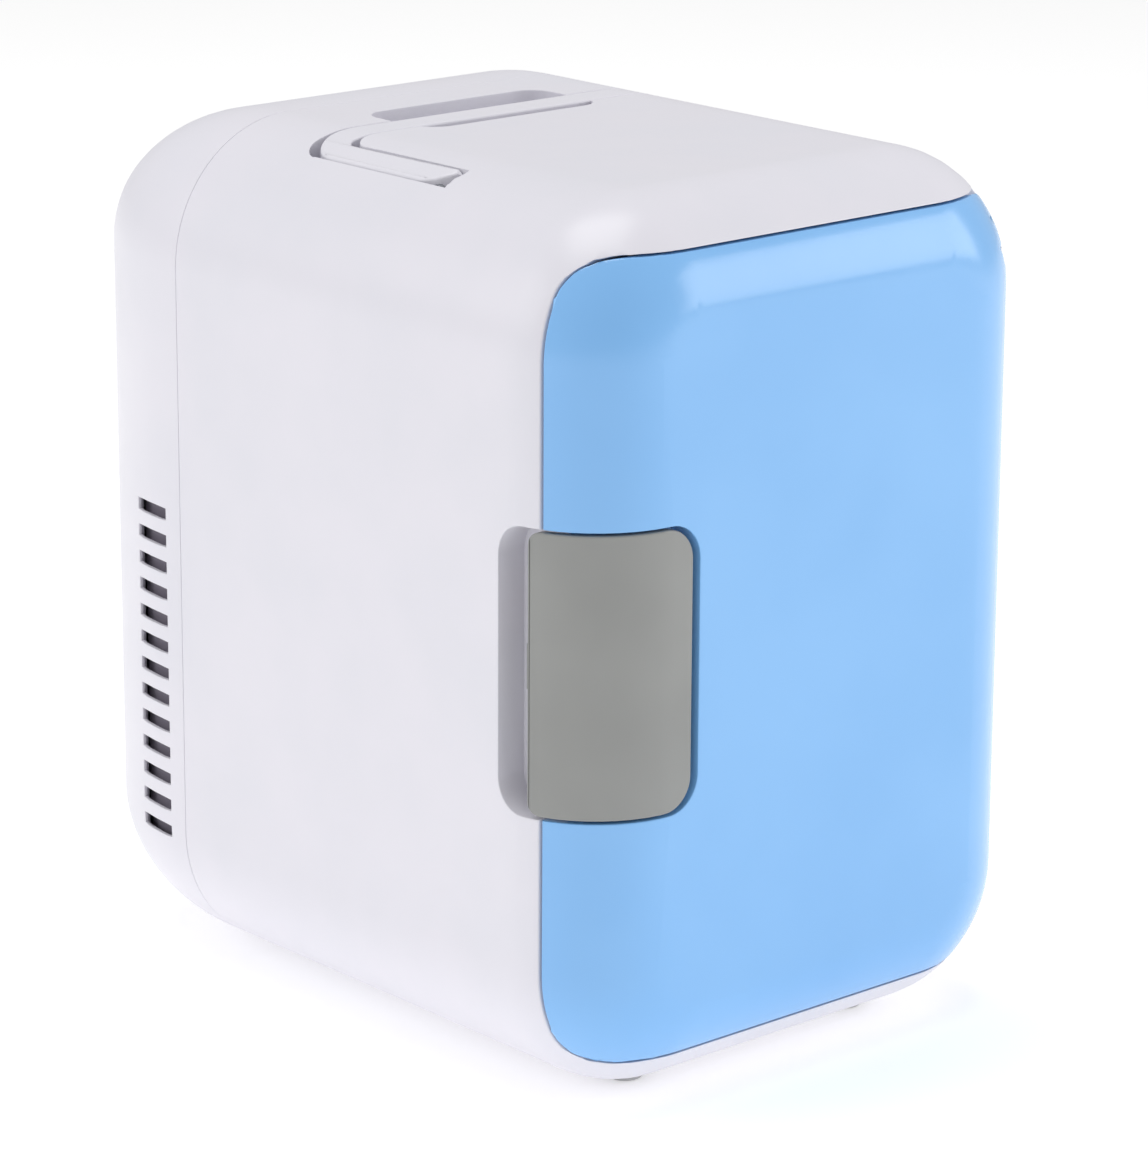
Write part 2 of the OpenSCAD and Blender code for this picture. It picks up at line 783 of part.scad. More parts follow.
module fan_frame() {
    color(dark) translate([0, 0, cooler_z]) difference() {
        union() {
            difference() {
                along_y(fan_y, fan_y + fan_t) round_rect(-fan_s / 2, -fan_s / 2, fan_s / 2, fan_s / 2, 5);
                rod_y(fan_y - 1, fan_y + fan_t + 1, fan_bore);
            }
            rod_y(fan_y, fan_y + hub_t, hub_r + 1);
            rod_y(fan_y, fan_y + hub_t + 12, tube_r);
            for (turn = [45 : 90 : 315]) rotate([0, turn, 0]) translate([hub_r - 1, fan_y, -2])
                cube([fan_bore - hub_r + 2, hub_t, 4]);
        }
        rod_y(fan_y + 1.5, fan_y + fan_t, bearing_r);
        four(fan_hole, fan_hole, 0) rod_y(fan_y - 1, fan_y + fan_t + 1, 2.1);
    }
}

module fan_bearing() {
    color([0.7, 0.55, 0.3]) translate([0, 0, cooler_z]) difference() {
        rod_y(fan_y + 2.5, fan_y + hub_t + 12, bearing_r);
        rod_y(fan_y + 2, fan_y + fan_t, shaft_r + run);
    }
}

module fan_coil() {
    color([0.72, 0.42, 0.22]) translate([0, 0, cooler_z]) {
        difference() {
            rod_y(fan_y + hub_t, fan_y + hub_t + 9, 7.5);
            rod_y(fan_y + hub_t - 1, fan_y + fan_t, tube_r);
        }
        for (turn = [0 : 90 : 270]) rotate([0, turn, 0]) translate([6, fan_y + hub_t + 2, -3])
            cube([6, 6, 6]);
    }
}

module fan_magnet() {
    color([0.3, 0.3, 0.32]) translate([0, 0, cooler_z]) difference() {
        rod_y(rotor_y0 + 0.5, rotor_y1 - 3, hub_r - 1.5);
        rod_y(rotor_y0 - 1, rotor_y1, hub_r - 3);
    }
}

module fan_shaft() {
    color(steel) translate([0, 0, cooler_z]) rod_y(fan_y + 3.5, rotor_y1 - rotor_cap, shaft_r);
}

module fan_rotor() {
    blade_pitch = 38;
    blade_chord = (rotor_y1 - rotor_y0 - 1.5) / sin(blade_pitch);
    color(dark) translate([0, 0, cooler_z]) {
        difference() {
            rod_y(rotor_y0, rotor_y1, hub_r);
            rod_y(rotor_y0 - 1, rotor_y1 - rotor_cap, hub_r - 1.5);
        }
        difference() {
            rod_y(rotor_y1 - 5, rotor_y1 - rotor_cap / 2, 3);
            rod_y(rotor_y1 - 6, rotor_y1 - rotor_cap, shaft_r);
        }
        intersection() {
            difference() {
                rod_y(rotor_y0, rotor_y1, fan_bore - 1.5);
                rod_y(rotor_y0 - 1, rotor_y1 + 1, hub_r - 0.7);
            }
            union() for (i = [0 : blade_n - 1]) rotate([0, 360 * i / blade_n, 0])
                translate([fan_bore / 2, (rotor_y0 + rotor_y1) / 2, 0]) rotate([blade_pitch, 0, 0])
                    cube([fan_bore, 1.2, blade_chord], center = true);
        }
    }
}

module fan_screws() {
    color(steel) four(fan_hole, fan_hole, cooler_z) {
        rod_y(rear_y - 1.5, rear_y - 0.1, 3.2);
        rod_y(rear_y - 16, rear_y - 1.4, 1.9);
    }
}

// ---------- electrics ----------

module circuit_board() {
    color([0.1, 0.38, 0.2]) difference() {
        translate([-board_w / 2, board_y, board_z - board_h / 2]) cube([board_w, board_t, board_h]);
        four(board_hole_x, board_hole_z, board_z) rod_y(board_y - 1, board_y + board_t + 1, 1.6);
    }
}

module board_transformer() {
    color([0.85, 0.75, 0.3]) translate([-22, board_y, board_z]) {
        translate([-10, -16, -9]) cube([20, 16, 18]);
        translate([-12, -13, -6]) cube([24, 10, 12]);
    }
}

module board_capacitors() {
    color([0.15, 0.2, 0.5]) for (x = [2, 15], z = [-8, 8])
        translate([x, 0, board_z + z]) rod_y(board_y - 14, board_y, 5);
}

module board_regulators() {
    color(steel) for (x = [26, 34]) translate([x - 1, board_y - 16, board_z - 9]) cube([2, 16, 18]);
    color(dark) translate([27, board_y - 11, board_z - 5]) cube([4.5, 8, 10]);
}

module board_screws() {
    color(steel) four(board_hole_x, board_hole_z, board_z) translate([0, board_y - 1.6, 0])
        screw(8, 1.2, 2.6, 1.6);
}

// Two-pin mains inlet
module ac_inlet() {
    color(dark) translate([socket_x, 0, socket_z]) difference() {
        along_y(rear_y - inlet_l, rear_y) round_rect(-bezel_x, -bezel_z, bezel_x, bezel_z, 3);
        along_y(rear_y - 14, rear_y + 1) {
            for (sx = [-1, 1]) translate([sx * inlet_pin_x, 0]) circle(4.2);
            translate([-inlet_pin_x, -3.2]) square([2 * inlet_pin_x, 7.4]);
        }
        for (sx = [-1, 1]) translate([sx * inlet_pin_x, 0, 0])
            rod_y(rear_y - inlet_l - 1, rear_y, inlet_pin_r);
    }
}

module ac_inlet_pins() {
    color(steel) for (sx = [-1, 1]) translate([socket_x + sx * inlet_pin_x, 0, socket_z])
        rod_y(rear_y - inlet_l - 2, rear_y - 3, inlet_pin_r);
}

module dc_socket() {
    color(dark) translate([-socket_x, 0, socket_z]) difference() {
        rod_y(rear_y - socket_l, rear_y, socket_r);
        rod_y(rear_y - socket_l + 8, rear_y + 1, 4.6);
        rod_y(rear_y - socket_l - 1, rear_y, socket_pin_r);
    }
}

module dc_socket_pin() {
    color(steel) translate([-socket_x, 0, socket_z])
        rod_y(rear_y - socket_l - 2, rear_y - 2.5, socket_pin_r);
}

module switch_housing() {
    color(dark) translate([0, 0, socket_z]) difference() {
        along_y(rear_y - switch_l, rear_y) round_rect(-bezel_x, -bezel_z, bezel_x, bezel_z, 1.5);
        translate([-rocker_r - 0.4, rocker_y - rocker_dip, -rocker_h / 2 - 0.3])
            cube([2 * rocker_r + 0.8, rocker_dip + 7, rocker_h + 0.6]);
        translate([0, rocker_y, -7]) cylinder(h = 14, r = 1.5 + run);
    }
}

// Three-position rocker: heat, off and cool
module mode_rocker() {
    color([0.8, 0.15, 0.12]) translate([0, rocker_y, socket_z]) {
        translate([0, 0, -rocker_h / 2]) linear_extrude(rocker_h) intersection() {
            circle(rocker_r);
            polygon([[-11, -4], [-11, 4.4], [0, 3], [11, 4.4], [11, -4]]);
        }
        translate([0, 0, -6.8]) cylinder(h = 13.6, r = 1.5);
    }
}

module indicator_lamps() {
    color([0.3, 0.8, 0.4]) for (sx = [-1, 1]) translate([sx * lamp_x, 0, socket_z + lamp_up]) {
        rod_y(rear_y - 7, rear_y - 0.2, lamp_r);
        rod_y(rear_y - 7, rear_y - 5.5, lamp_r + 0.8);
    }
}

module fan_lead() {
    x = fan_s / 2;
    y = fan_y + 8;
    color(dark) wire(soften([[x, y, cooler_z + 20], [x + 6, y, cooler_z + 20],
        [x + 6, fan_y - 2, cooler_z + 66], [24, board_y + board_t + 9, board_z - 22],
        [24, board_y + board_t, board_z - 22]]), 1.2);
}

// Runs up behind the heatsink in the mid frame's channel
module module_lead() {
    y = (frame_y + seam_y) / 2;
    over = cooler_z + sink_h / 2 + sink_tab_h + 3;
    color([0.75, 0.15, 0.12]) wire(soften([[lead_x, y, cooler_z + module_s / 2],
        [lead_x, y, over - 4], [lead_x, y, over + 1], [lead_x, y + 8, over + 4],
        [lead_x, board_y - 12, board_z - 20], [lead_x, board_y, board_z - 20]]), 0.8);
}

module inlet_lead() {
    color(dark) wire(soften([[socket_x, rear_y - inlet_l, socket_z + 4],
        [socket_x, rear_y - inlet_l - 6, socket_z + 4], [socket_x - 4, board_y + 6, socket_z + 12],
        [socket_x - 4, board_y + board_t, socket_z + 12]]), 1.4);
}

module socket_lead() {
    color(dark) wire(soften([[-socket_x, rear_y - socket_l, socket_z + 4],
        [-socket_x, rear_y - socket_l - 6, socket_z + 4], [-socket_x + 4, board_y + 6, socket_z + 12],
        [-socket_x + 4, board_y + board_t, socket_z + 12]]), 1.2);
}

module switch_lead() {
    color(dark) wire(soften([[0, rear_y - switch_l, socket_z],
        [0, rear_y - switch_l - 7, socket_z],
        [0, board_y + 6, socket_z + 8], [0, board_y + board_t, socket_z + 8]]), 1.2);
}

module cover_screws() {
    color(steel) four(well_x, well_z, mid_z) {
        rod_y(well_y + well_floor, well_y + well_floor + 2.5, well_r - 2.4);
        rod_y(frame_y + 1, well_y + well_floor + 1, 1.5);
    }
}

// ---------- handle, shelf and small cabinet pieces ----------

module handle_pins() {
    color(steel) both_sides() translate([0, pivot_y, pivot_z])
        rod_x(arm_x - handle_pin_in, arm_x + arm_w - 1.5, handle_pin_r);
}

module carry_handle() {
    color(white) difference() {
        intersection() {
            translate([0, 0, mid_z]) linear_extrude(body_h) handle_plan(0, handle_r, 4);
            difference() {
                form(0, front_y, rear_y);
                form(handle_t, front_y, rear_y);
            }
            union() {
                translate([-body_w, pivot_y, mid_z]) cube([2 * body_w, body_d, body_h]);
                translate([0, pivot_y, pivot_z]) rod_x(-body_w, body_w, nose_r);
            }
        }
        both_sides() translate([0, pivot_y, pivot_z])
            rod_x(arm_x - 1, arm_x + arm_w - 1.4, handle_pin_r + run);
    }
}

// Slotted shelf with a low lip at the front
module shelf() {
    slot_n = 9;
    pitch = 2 * (cold_x - 8) / slot_n;
    color([0.93, 0.93, 0.95]) difference() {
        union() {
            translate([-cold_x + 0.5, shelf_front, shelf_z]) cube([2 * cold_x - 1, shelf_d, shelf_t]);
            translate([-cold_x + rail_out + 1, shelf_front, shelf_z])
                cube([2 * (cold_x - rail_out - 1), 2.5, 10]);
        }
        for (i = [0 : slot_n - 1]) translate([(i - (slot_n - 1) / 2) * pitch, 0, 0])
            translate([0, 0, shelf_z - 1]) linear_extrude(shelf_t + 2)
                round_rect(-2.5, shelf_front + 9, 2.5, shelf_front + shelf_d - 8, 2.4);
    }
}

module hinge_pins() {
    color(steel) for (z = ears_z) translate([pin_x, pin_y, z - pin_half_l])
        cylinder(h = 2 * pin_half_l, r = hinge_pin_r);
}

// Strike plate for the latch hook, on the floor of the finger recess
module latch_keeper() {
    color(steel) difference() {
        translate([keeper_x - 1.6, keeper_y, mid_z - 9]) cube([4, 3, 18]);
        form(recess_depth, front_y, seam_y);
    }
}

// ---------- door ----------

module door_shell() {
    color(blue) difference() {
        union() {
            difference() {
                intersection() {
                    form(0, front_y, parting_y);
                    along_x(-body_w, body_w) door_outline(0);
                }
                beyond_knuckle(knuckle_r);
                latch_pocket(0);
                door_inside(0);
            }
            latch_ears();
        }
        ear_sweep();
        for (z = ears_z) translate([pin_x, pin_y, z - pin_half_l - 0.5])
            cylinder(h = 2 * pin_half_l + 1, r = hinge_pin_r + run);
        along_y(door_back_y - wall - 1, parting_y) door_window(slip);
        four(door_screw_x, door_screw_z, mid_z) {
            rod_y(door_back_y - panel_t, parting_y, 5);
            rod_y(front_y + 8, parting_y, 1.4);
        }
    }
}

// Outline of the inner panel, inside the gasket's outer edge
module door_window(grow) {
    x = plug_x + gasket_w + 1 + grow;
    round_rect(-x, plug_z0 - gasket_w - 1 - grow, x, plug_z1 + gasket_w + 1 + grow, cold_r + grow);
}

// Ears that hold the latch pin at the floor of the pocket
module latch_ears() {
    for (sz = [-1, 1]) translate([latch_pin_x, latch_pin_y, mid_z + sz * ear_up - 2]) difference() {
        union() {
            cylinder(h = 4, r = lug_r);
            translate([-lug_r, 0, 0]) cube([2 * lug_r, pocket_depth - 5.5, 4]);
        }
        translate([0, 0, -1]) cylinder(h = 6, r = latch_pin_r);
    }
}

// White inner panel with its step into the cold space and the basket's hooks
module door_liner() {
    color(foam_white) {
        difference() {
            union() {
                along_y(door_back_y - panel_t, door_back_y) door_window(0);
                along_y(door_back_y - 1, plug_y)
                    round_rect(-plug_x, plug_z0, plug_x, plug_z1, cold_r - 4);
            }
            along_y(door_back_y - panel_t - 1, plug_y - panel_t)
                round_rect(-plug_x + panel_t, plug_z0 + panel_t, plug_x - panel_t,
                    plug_z1 - panel_t, cold_r - 6);
            gasket_ring(0.1);
            four(door_screw_x, door_screw_z, mid_z) rod_y(front_y, plug_y + 1, 1.7);
        }
        for (sx = [-1, 1]) translate([sx * hook_x - hook_w / 2, plug_y - eps, hook_z]) {
            cube([hook_w, basket_t + 4.5, 2]);
            translate([0, basket_t + 1.5, 0]) cube([hook_w, 3, basket_lift]);
        }
    }
}

module gasket_ring(grow) {
    t = 1.4;
    x = plug_x + gasket_w;
    along_y(door_back_y - t - grow, parting_y - slip / 2 + grow) difference() {
        round_rect(-x - grow, plug_z0 - gasket_w - grow, x + grow, plug_z1 + gasket_w + grow, cold_r);
        round_rect(-plug_x, plug_z0, plug_x, plug_z1, cold_r - 4);
    }
}

module door_gasket() {
    color([0.75, 0.75, 0.77]) gasket_ring(0);
}

module door_foam() {
    color(foam_white) difference() {
        intersection() {
            door_inside(slip);
            union() {
                translate([-far / 2, front_y, 0]) cube([far, door_back_y - panel_t - 0.6 - front_y, far]);
                along_y(front_y, plug_y - panel_t - slip)
                    round_rect(-plug_x + panel_t + slip, plug_z0 + panel_t + slip,
                        plug_x - panel_t - slip, plug_z1 - panel_t - slip, cold_r - 6);
            }
        }
        four(door_screw_x, door_screw_z, mid_z) rod_y(front_y, far, 4 + slip);
    }
}

module door_screws() {
    color(steel) four(door_screw_x, door_screw_z, mid_z) {
        rod_y(plug_y, plug_y + 1.8, 3);
        rod_y(front_y + 9, plug_y + 1, 1.4);
    }
}

// Latch plate that wraps the door's left edge, with its pin lugs and hook
module latch_handle() {
    color(grey) difference() {
        union() {
            intersection() {
                difference() {
                    form(0, front_y, seam_y);
                    form(latch_t, front_y, seam_y);
                }
                along_y(front_y - 1, seam_y) round_rect(-body_w, mid_z - latch_h / 2, latch_x,
                    mid_z + latch_h / 2, 10);
                along_x(-body_w, 0) round_rect(front_y - far, mid_z - latch_h / 2,
                    parting_y + latch_tail, mid_z + latch_h / 2, 4);
            }
            for (sz = [-1, 1])
                translate([latch_pin_x, latch_pin_y, mid_z + sz * lug_up - lug_h / 2]) {
                    cylinder(h = lug_h, r = lug_r);
                    translate([-lug_r, front_y + 1 - latch_pin_y, 0])
                        cube([2 * lug_r, latch_pin_y - front_y - 1, lug_h]);
                }
            translate([-body_w / 2 + 2, parting_y + 1, mid_z - 7])
                cube([recess_depth - 4, latch_tail - 2, 14]);
            translate([-body_w / 2 + recess_depth - 4, parting_y + 1, mid_z - 7]) cube([2, 9, 14]);
        }
        translate([latch_pin_x, latch_pin_y, mid_z - latch_h / 2])
            cylinder(h = latch_h, r = latch_pin_r + run);
    }
}

module latch_pin() {
    color(steel) translate([latch_pin_x, latch_pin_y, mid_z - ear_up - 2])
        cylinder(h = 2 * ear_up + 4, r = latch_pin_r);
}

// Torsion spring round the latch pin: its legs spread to push the plate's right edge outward
module latch_spring() {
    wire_r = 0.4;
    coil_r = latch_pin_r + run + wire_r + 0.1;
    turns = 8;
    per_turn = 12;
    rise = 1.1;
    coil = [for (i = [per_turn / 2 : turns * per_turn]) let(a = 360 * i / per_turn)
        [latch_pin_x + coil_r * sin(a), latch_pin_y - coil_r * cos(a),
            mid_z + (i / per_turn - turns / 2) * rise]];
    floor_leg = coil[0] + [5, 0, 0];
    plate_leg = coil[len(coil) - 1] + [3, 0, 0];
    color(steel) wire(concat([floor_leg], coil, [plate_leg]), wire_r);
}

module door_basket() {
    color([0.9, 0.92, 0.96]) difference() {
        basket_box(0, basket_z);
        translate([0, 0, basket_t]) basket_box(basket_t, basket_z);
        for (sx = [-1, 1])
            translate([sx * hook_x - hook_w / 2 - 0.5, basket_y - 1, hook_z - basket_lift - 0.3])
                cube([hook_w + 1, basket_t + 2, basket_lift + 2.5]);
        for (i = [-3 : 3], row = [0, 1])
            translate([i * 14, basket_y + basket_d, basket_z + 14 + row * 20])
                translate([-4, -basket_t - 1, 0]) cube([8, basket_t + 2, 12]);
    }
}

// Box of the basket, shrunk by an inset on its four sides
module basket_box(inset, z) {
    translate([0, 0, z]) linear_extrude(basket_h)
        round_rect(-basket_x + inset, basket_y + inset, basket_x - inset,
            basket_y + basket_d - inset, 5 - inset);
}

cabinet_shell();
rear_cover();
mid_frame();
inner_liner();
cabinet_foam();
cold_plate();
clamp_screws();
cold_block();
cooling_module();
module_seal();
heatsink();
thermal_cutout();
fan_frame();
fan_bearing();
fan_coil();
fan_screws();
fan_rotor();
fan_shaft();
fan_magnet();
circuit_board();
board_transformer();
board_capacitors();
board_regulators();
board_screws();
ac_inlet();
ac_inlet_pins();
dc_socket();
dc_socket_pin();
switch_housing();
mode_rocker();
indicator_lamps();
fan_lead();
module_lead();
inlet_lead();
socket_lead();
switch_lead();
feet();
cover_screws();
hinge_pins();
latch_keeper();
handle_pins();
carry_handle();
shelf();
door_shell();
door_liner();
door_foam();
door_gasket();
door_screws();
latch_handle();
latch_pin();
latch_spring();
door_basket();
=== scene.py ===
import json
import math

import bpy
from mathutils import Matrix, Vector


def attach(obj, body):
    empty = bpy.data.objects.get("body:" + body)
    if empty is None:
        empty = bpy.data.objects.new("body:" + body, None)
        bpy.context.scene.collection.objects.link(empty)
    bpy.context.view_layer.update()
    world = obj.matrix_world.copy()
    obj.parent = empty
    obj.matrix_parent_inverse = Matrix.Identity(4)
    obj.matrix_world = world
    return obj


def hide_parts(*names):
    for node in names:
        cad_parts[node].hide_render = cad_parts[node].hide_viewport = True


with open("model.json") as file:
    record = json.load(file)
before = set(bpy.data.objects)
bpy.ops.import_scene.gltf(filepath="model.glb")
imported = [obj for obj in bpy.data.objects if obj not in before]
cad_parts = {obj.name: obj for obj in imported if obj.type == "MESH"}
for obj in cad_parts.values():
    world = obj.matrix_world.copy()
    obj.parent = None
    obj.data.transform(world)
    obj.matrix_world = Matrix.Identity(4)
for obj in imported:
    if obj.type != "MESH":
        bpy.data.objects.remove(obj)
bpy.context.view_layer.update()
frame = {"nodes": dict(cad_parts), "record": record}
bpy.ops.object.select_all(action="DESELECT")
mm = 0.001
straight = math.pi / 2


def startEdit(obj, mode="VERT"):
    bpy.ops.object.select_all(action="DESELECT")
    obj.select_set(True)
    bpy.context.view_layer.objects.active = obj
    bpy.ops.object.mode_set(mode="EDIT")
    bpy.ops.mesh.select_mode(type=mode)


def endEdit():
    bpy.ops.object.mode_set(mode="OBJECT")


# select the faces that wanted(face) accepts
def pickFaces(obj, wanted):
    bpy.ops.mesh.select_all(action="DESELECT")
    bpy.ops.object.mode_set(mode="OBJECT")
    for face in obj.data.polygons:
        face.select = wanted(face)
    bpy.ops.object.mode_set(mode="EDIT")


# place goes into the mesh, so that the object stands at the origin
def settle(obj):
    bpy.ops.object.select_all(action="DESELECT")
    obj.select_set(True)
    bpy.context.view_layer.objects.active = obj
    bpy.ops.object.transform_apply(location=True, rotation=True, scale=True)
    return obj


def faceOut(obj, merge=0.00001):
    startEdit(obj)
    bpy.ops.mesh.select_all(action="SELECT")
    bpy.ops.mesh.remove_doubles(threshold=merge)
    bpy.ops.mesh.normals_make_consistent(inside=False)
    endEdit()
    return obj


def applyModifier(obj, kind, **settings):
    bpy.ops.object.select_all(action="DESELECT")
    obj.select_set(True)
    bpy.context.view_layer.objects.active = obj
    modifier = obj.modifiers.new(kind.lower(), kind)
    for name, value in settings.items():
        setattr(modifier, name, value)
    bpy.ops.object.modifier_apply(modifier=modifier.name)
    return obj


def carve(obj, cutter, how="DIFFERENCE", keep=False):
    applyModifier(obj, "BOOLEAN", operation=how, object=cutter, solver="EXACT")
    if not keep:
        bpy.data.objects.remove(cutter)
    return obj


def smooth(obj, angle=35):
    bpy.ops.object.select_all(action="DESELECT")
    obj.select_set(True)
    bpy.context.view_layer.objects.active = obj
    bpy.ops.object.shade_smooth_by_angle(angle=math.radians(angle))
    return obj


def roundEdges(obj, width, steps=2, angle=35):
    applyModifier(obj, "BEVEL", width=width * mm, segments=steps, limit_method="ANGLE",
                  angle_limit=math.radians(angle), use_clamp_overlap=True, harden_normals=False,
                  miter_outer="MITER_ARC")
    return obj


# a CAD node's mesh as a new piece, its loose triangles merged first
def copyOfNode(node, name):
    obj = bpy.data.objects.new(name, frame["nodes"][node].data.copy())
    bpy.context.scene.collection.objects.link(obj)
    startEdit(obj)
    bpy.ops.mesh.customdata_custom_splitnormals_clear()
    bpy.ops.mesh.select_all(action="SELECT")
    bpy.ops.mesh.remove_doubles(threshold=0.000002)
    endEdit()
    return obj


# a prism: a rectangle with round corners, drawn across an axis and pulled along it
def prism(name, axis, low, high, start, end, radius=0, steps=10):
    midU, midV = (low[0] + high[0]) / 2, (low[1] + high[1]) / 2
    place = {"x": (start, midU, midV), "y": (midU, start, midV), "z": (midU, midV, start)}[axis]
    turn = {"x": (0, straight, 0), "y": (straight, 0, 0), "z": (0, 0, 0)}[axis]
    halfU, halfV = (high[0] - low[0]) / 2, (high[1] - low[1]) / 2
    size = {"x": (1, halfU, halfV), "y": (halfU, 1, halfV), "z": (halfU, halfV, 1)}[axis]
    pull = {"x": (end - start, 0, 0), "y": (0, end - start, 0), "z": (0, 0, end - start)}[axis]
    bpy.ops.mesh.primitive_plane_add(size=2 * mm, rotation=turn, location=[p * mm for p in place])
    obj = bpy.context.object
    obj.name = name
    settle(obj)
    startEdit(obj)
    bpy.ops.mesh.select_all(action="SELECT")
    bpy.ops.transform.resize(value=size, center_override=[p * mm for p in place])
    if radius:
        bpy.ops.mesh.bevel(offset=radius * mm, segments=steps, affect="VERTICES")
        bpy.ops.mesh.select_all(action="SELECT")
    bpy.ops.mesh.extrude_region_move(TRANSFORM_OT_translate={"value": [p * mm for p in pull]})
    endEdit()
    return faceOut(obj)


def rod(name, axis, centre, start, end, radius, sides=48):
    turn = {"x": (0, straight, 0), "y": (straight, 0, 0), "z": (0, 0, 0)}[axis]
    middle = (start + end) / 2
    place = {"x": (middle, *centre), "y": (centre[0], middle, centre[1]), "z": (*centre, middle)}[axis]
    bpy.ops.mesh.primitive_cylinder_add(vertices=sides, radius=radius * mm, depth=(end - start) * mm,
                                        rotation=turn, location=[p * mm for p in place])
    obj = bpy.context.object
    obj.name = name
    return settle(obj)


body = dict(width=188, depth=256, height=270, foot=3, corner=44, front=34, rear=34, rearIn=42, rearRun=60,
            cornerSteps=20, frontSteps=12, rearSteps=9, wall=2.5)
halfX = body["width"] / 2
frontY, rearY = -body["depth"] / 2, body["depth"] / 2
midZ = body["foot"] + body["height"] / 2
topZ = body["foot"] + body["height"]


# the rear rounding as (distance in from the side, depth): a wide arc that runs into a tight one
def rearArcs(inset):
    tight, reach, length = body["rear"], body["rearIn"], body["rearRun"]
    wide = ((length - tight) ** 2 + reach ** 2 - tight ** 2) / (2 * (reach - tight))
    turn = math.atan2(length - tight, wide - reach)
    rows = []
    for i in range(1, body["rearSteps"] + 1):
        angle = turn * i / body["rearSteps"]
        rows.append((wide - (wide - inset) * math.cos(angle),
                     rearY - length + (wide - inset) * math.sin(angle)))
    for i in range(1, body["rearSteps"] + 1):
        angle = turn + (straight - turn) * i / body["rearSteps"]
        rows.append((reach - (tight - inset) * math.cos(angle),
                     rearY - tight + (tight - inset) * math.sin(angle)))
    return rows


# the fridge's rounded block, drawn in by inset: side walls, then rings stepped in along the roundings
def outerForm(name, inset=0):
    sideY = frontY + body["front"]
    width, height = body["width"] - 2 * inset, body["height"] - 2 * inset
    block = prism(name, "y", (-width / 2, midZ - height / 2), (width / 2, midZ + height / 2),
                  sideY, rearY - body["rearRun"], body["corner"] - inset, body["cornerSteps"])
    front, radius = body["front"], body["front"] - inset
    rows = []
    for i in range(1, body["frontSteps"] + 1):
        angle = straight * i / body["frontSteps"]
        rows.append((front - radius * math.cos(angle), sideY - radius * math.sin(angle)))
    startEdit(block, "FACE")
    for side, steps, y in ((-1, rows, sideY), (1, rearArcs(inset), rearY - body["rearRun"])):
        pickFaces(block, lambda face: face.normal.y * side > 0.9)
        reach = inset
        for nextReach, nextY in steps:
            bpy.ops.mesh.inset(thickness=(nextReach - reach) * mm, depth=abs(nextY - y) * mm,
                               use_even_offset=True)
            reach, y = nextReach, nextY
    endEdit()
    return faceOut(block)


door = dict(low=17.5, high=258.5, back=-106.7, corner=10, gap=0.7, knuckle=9, pin=(77.314, -115.7),
            window=(72.5, 32.5, 243.5, 12))
latch = dict(low=95.5, high=180.5, left=-94, right=-52.5, gap=0.8, pocket=10, recessEnd=-90.5, thick=2.5,
             tail=-102, pin=(-58, -121.5), lug=3.2, lugUp=29.75, lugHalf=3, earUp=37.75, earHalf=2)
handle = dict(half=71, arm=8, grip=11.5, back=28, pivot=(-34, 265.4), nose=5.8, gap=0.6, thick=8,
              corner=14, wellCorner=8, trough=16, troughHalf=35.5, troughRun=16, noseGap=0.75,
              pinRadius=1.5)
seam, parting, coldBack = 62, -106, 36
rimReach = 0.08  # how close to the outer surface an edge lies to count as a rim


# the corner outside the knuckle circle, on the hinge side
def hingeCorner(radius):
    corner = prism("hingeCorner", "z", door["pin"], (120, -90), 0, 290)
    return carve(corner, rod("knuckle", "z", door["pin"], -5, 300, radius, 96))


def latchPocket(grow=0):
    low, high = latch["low"] - latch["gap"] - grow, latch["high"] + latch["gap"] + grow
    pocket = prism("latchPocket", "y", (-130, low), (latch["right"] + 2.6 + grow, high),
                   frontY - 5, latch["recessEnd"], 11 + grow, 12)
    return carve(pocket, outerForm("pocketFloor", latch["pocket"] + grow))


def fingerRecess():
    low, high = latch["low"] - latch["gap"], latch["high"] + latch["gap"]
    recess = prism("fingerRecess", "x", (frontY - 8, low), (latch["recessEnd"], high), -130, 0, 10, 12)
    return carve(recess, outerForm("recessFloor", latch["pocket"]))


# the U of the handle seen from above, pulled up through the top
def handlePlan(grow, outerRadius, innerRadius):
    inner = handle["half"] - handle["arm"] - grow
    plan = prism("handlePlan", "z", (-handle["half"] - grow, handle["pivot"][0] - handle["nose"] - grow),
                 (handle["half"] + grow, handle["back"] + grow), midZ, topZ + 9, outerRadius, 12)
    middle = prism("handleMiddle", "z", (-inner, -160), (inner, handle["back"] - handle["grip"] - grow),
                   midZ - 9, topZ + 18, innerRadius, 12)
    return carve(plan, middle)


# how far a point lies under the outer form's surface, in mm
def depthBelow(point):
    x, y, z = (p / mm for p in point)
    corner = body["corner"]
    out = math.hypot(max(abs(x) - halfX + corner, 0), max(abs(z - midZ) - (topZ - midZ) + corner, 0))
    frontRun, rearRun = y - frontY - body["front"], y - rearY + body["rearRun"]
    if frontRun < 0:
        past = out - corner + body["front"]
        return body["front"] - math.hypot(max(past, 0), frontRun)
    if rearRun < 0:
        return corner - out
    tight, reach, length = body["rear"], body["rearIn"], body["rearRun"]
    wide = ((length - tight) ** 2 + reach ** 2 - tight ** 2) / (2 * (reach - tight))
    fromWide = out - corner + wide
    if math.atan2(rearRun, fromWide) < math.atan2(length - tight, wide - reach):
        return wide - math.hypot(fromWide, rearRun)
    return tight - math.hypot(max(out - corner + reach, 0), y - rearY + tight)


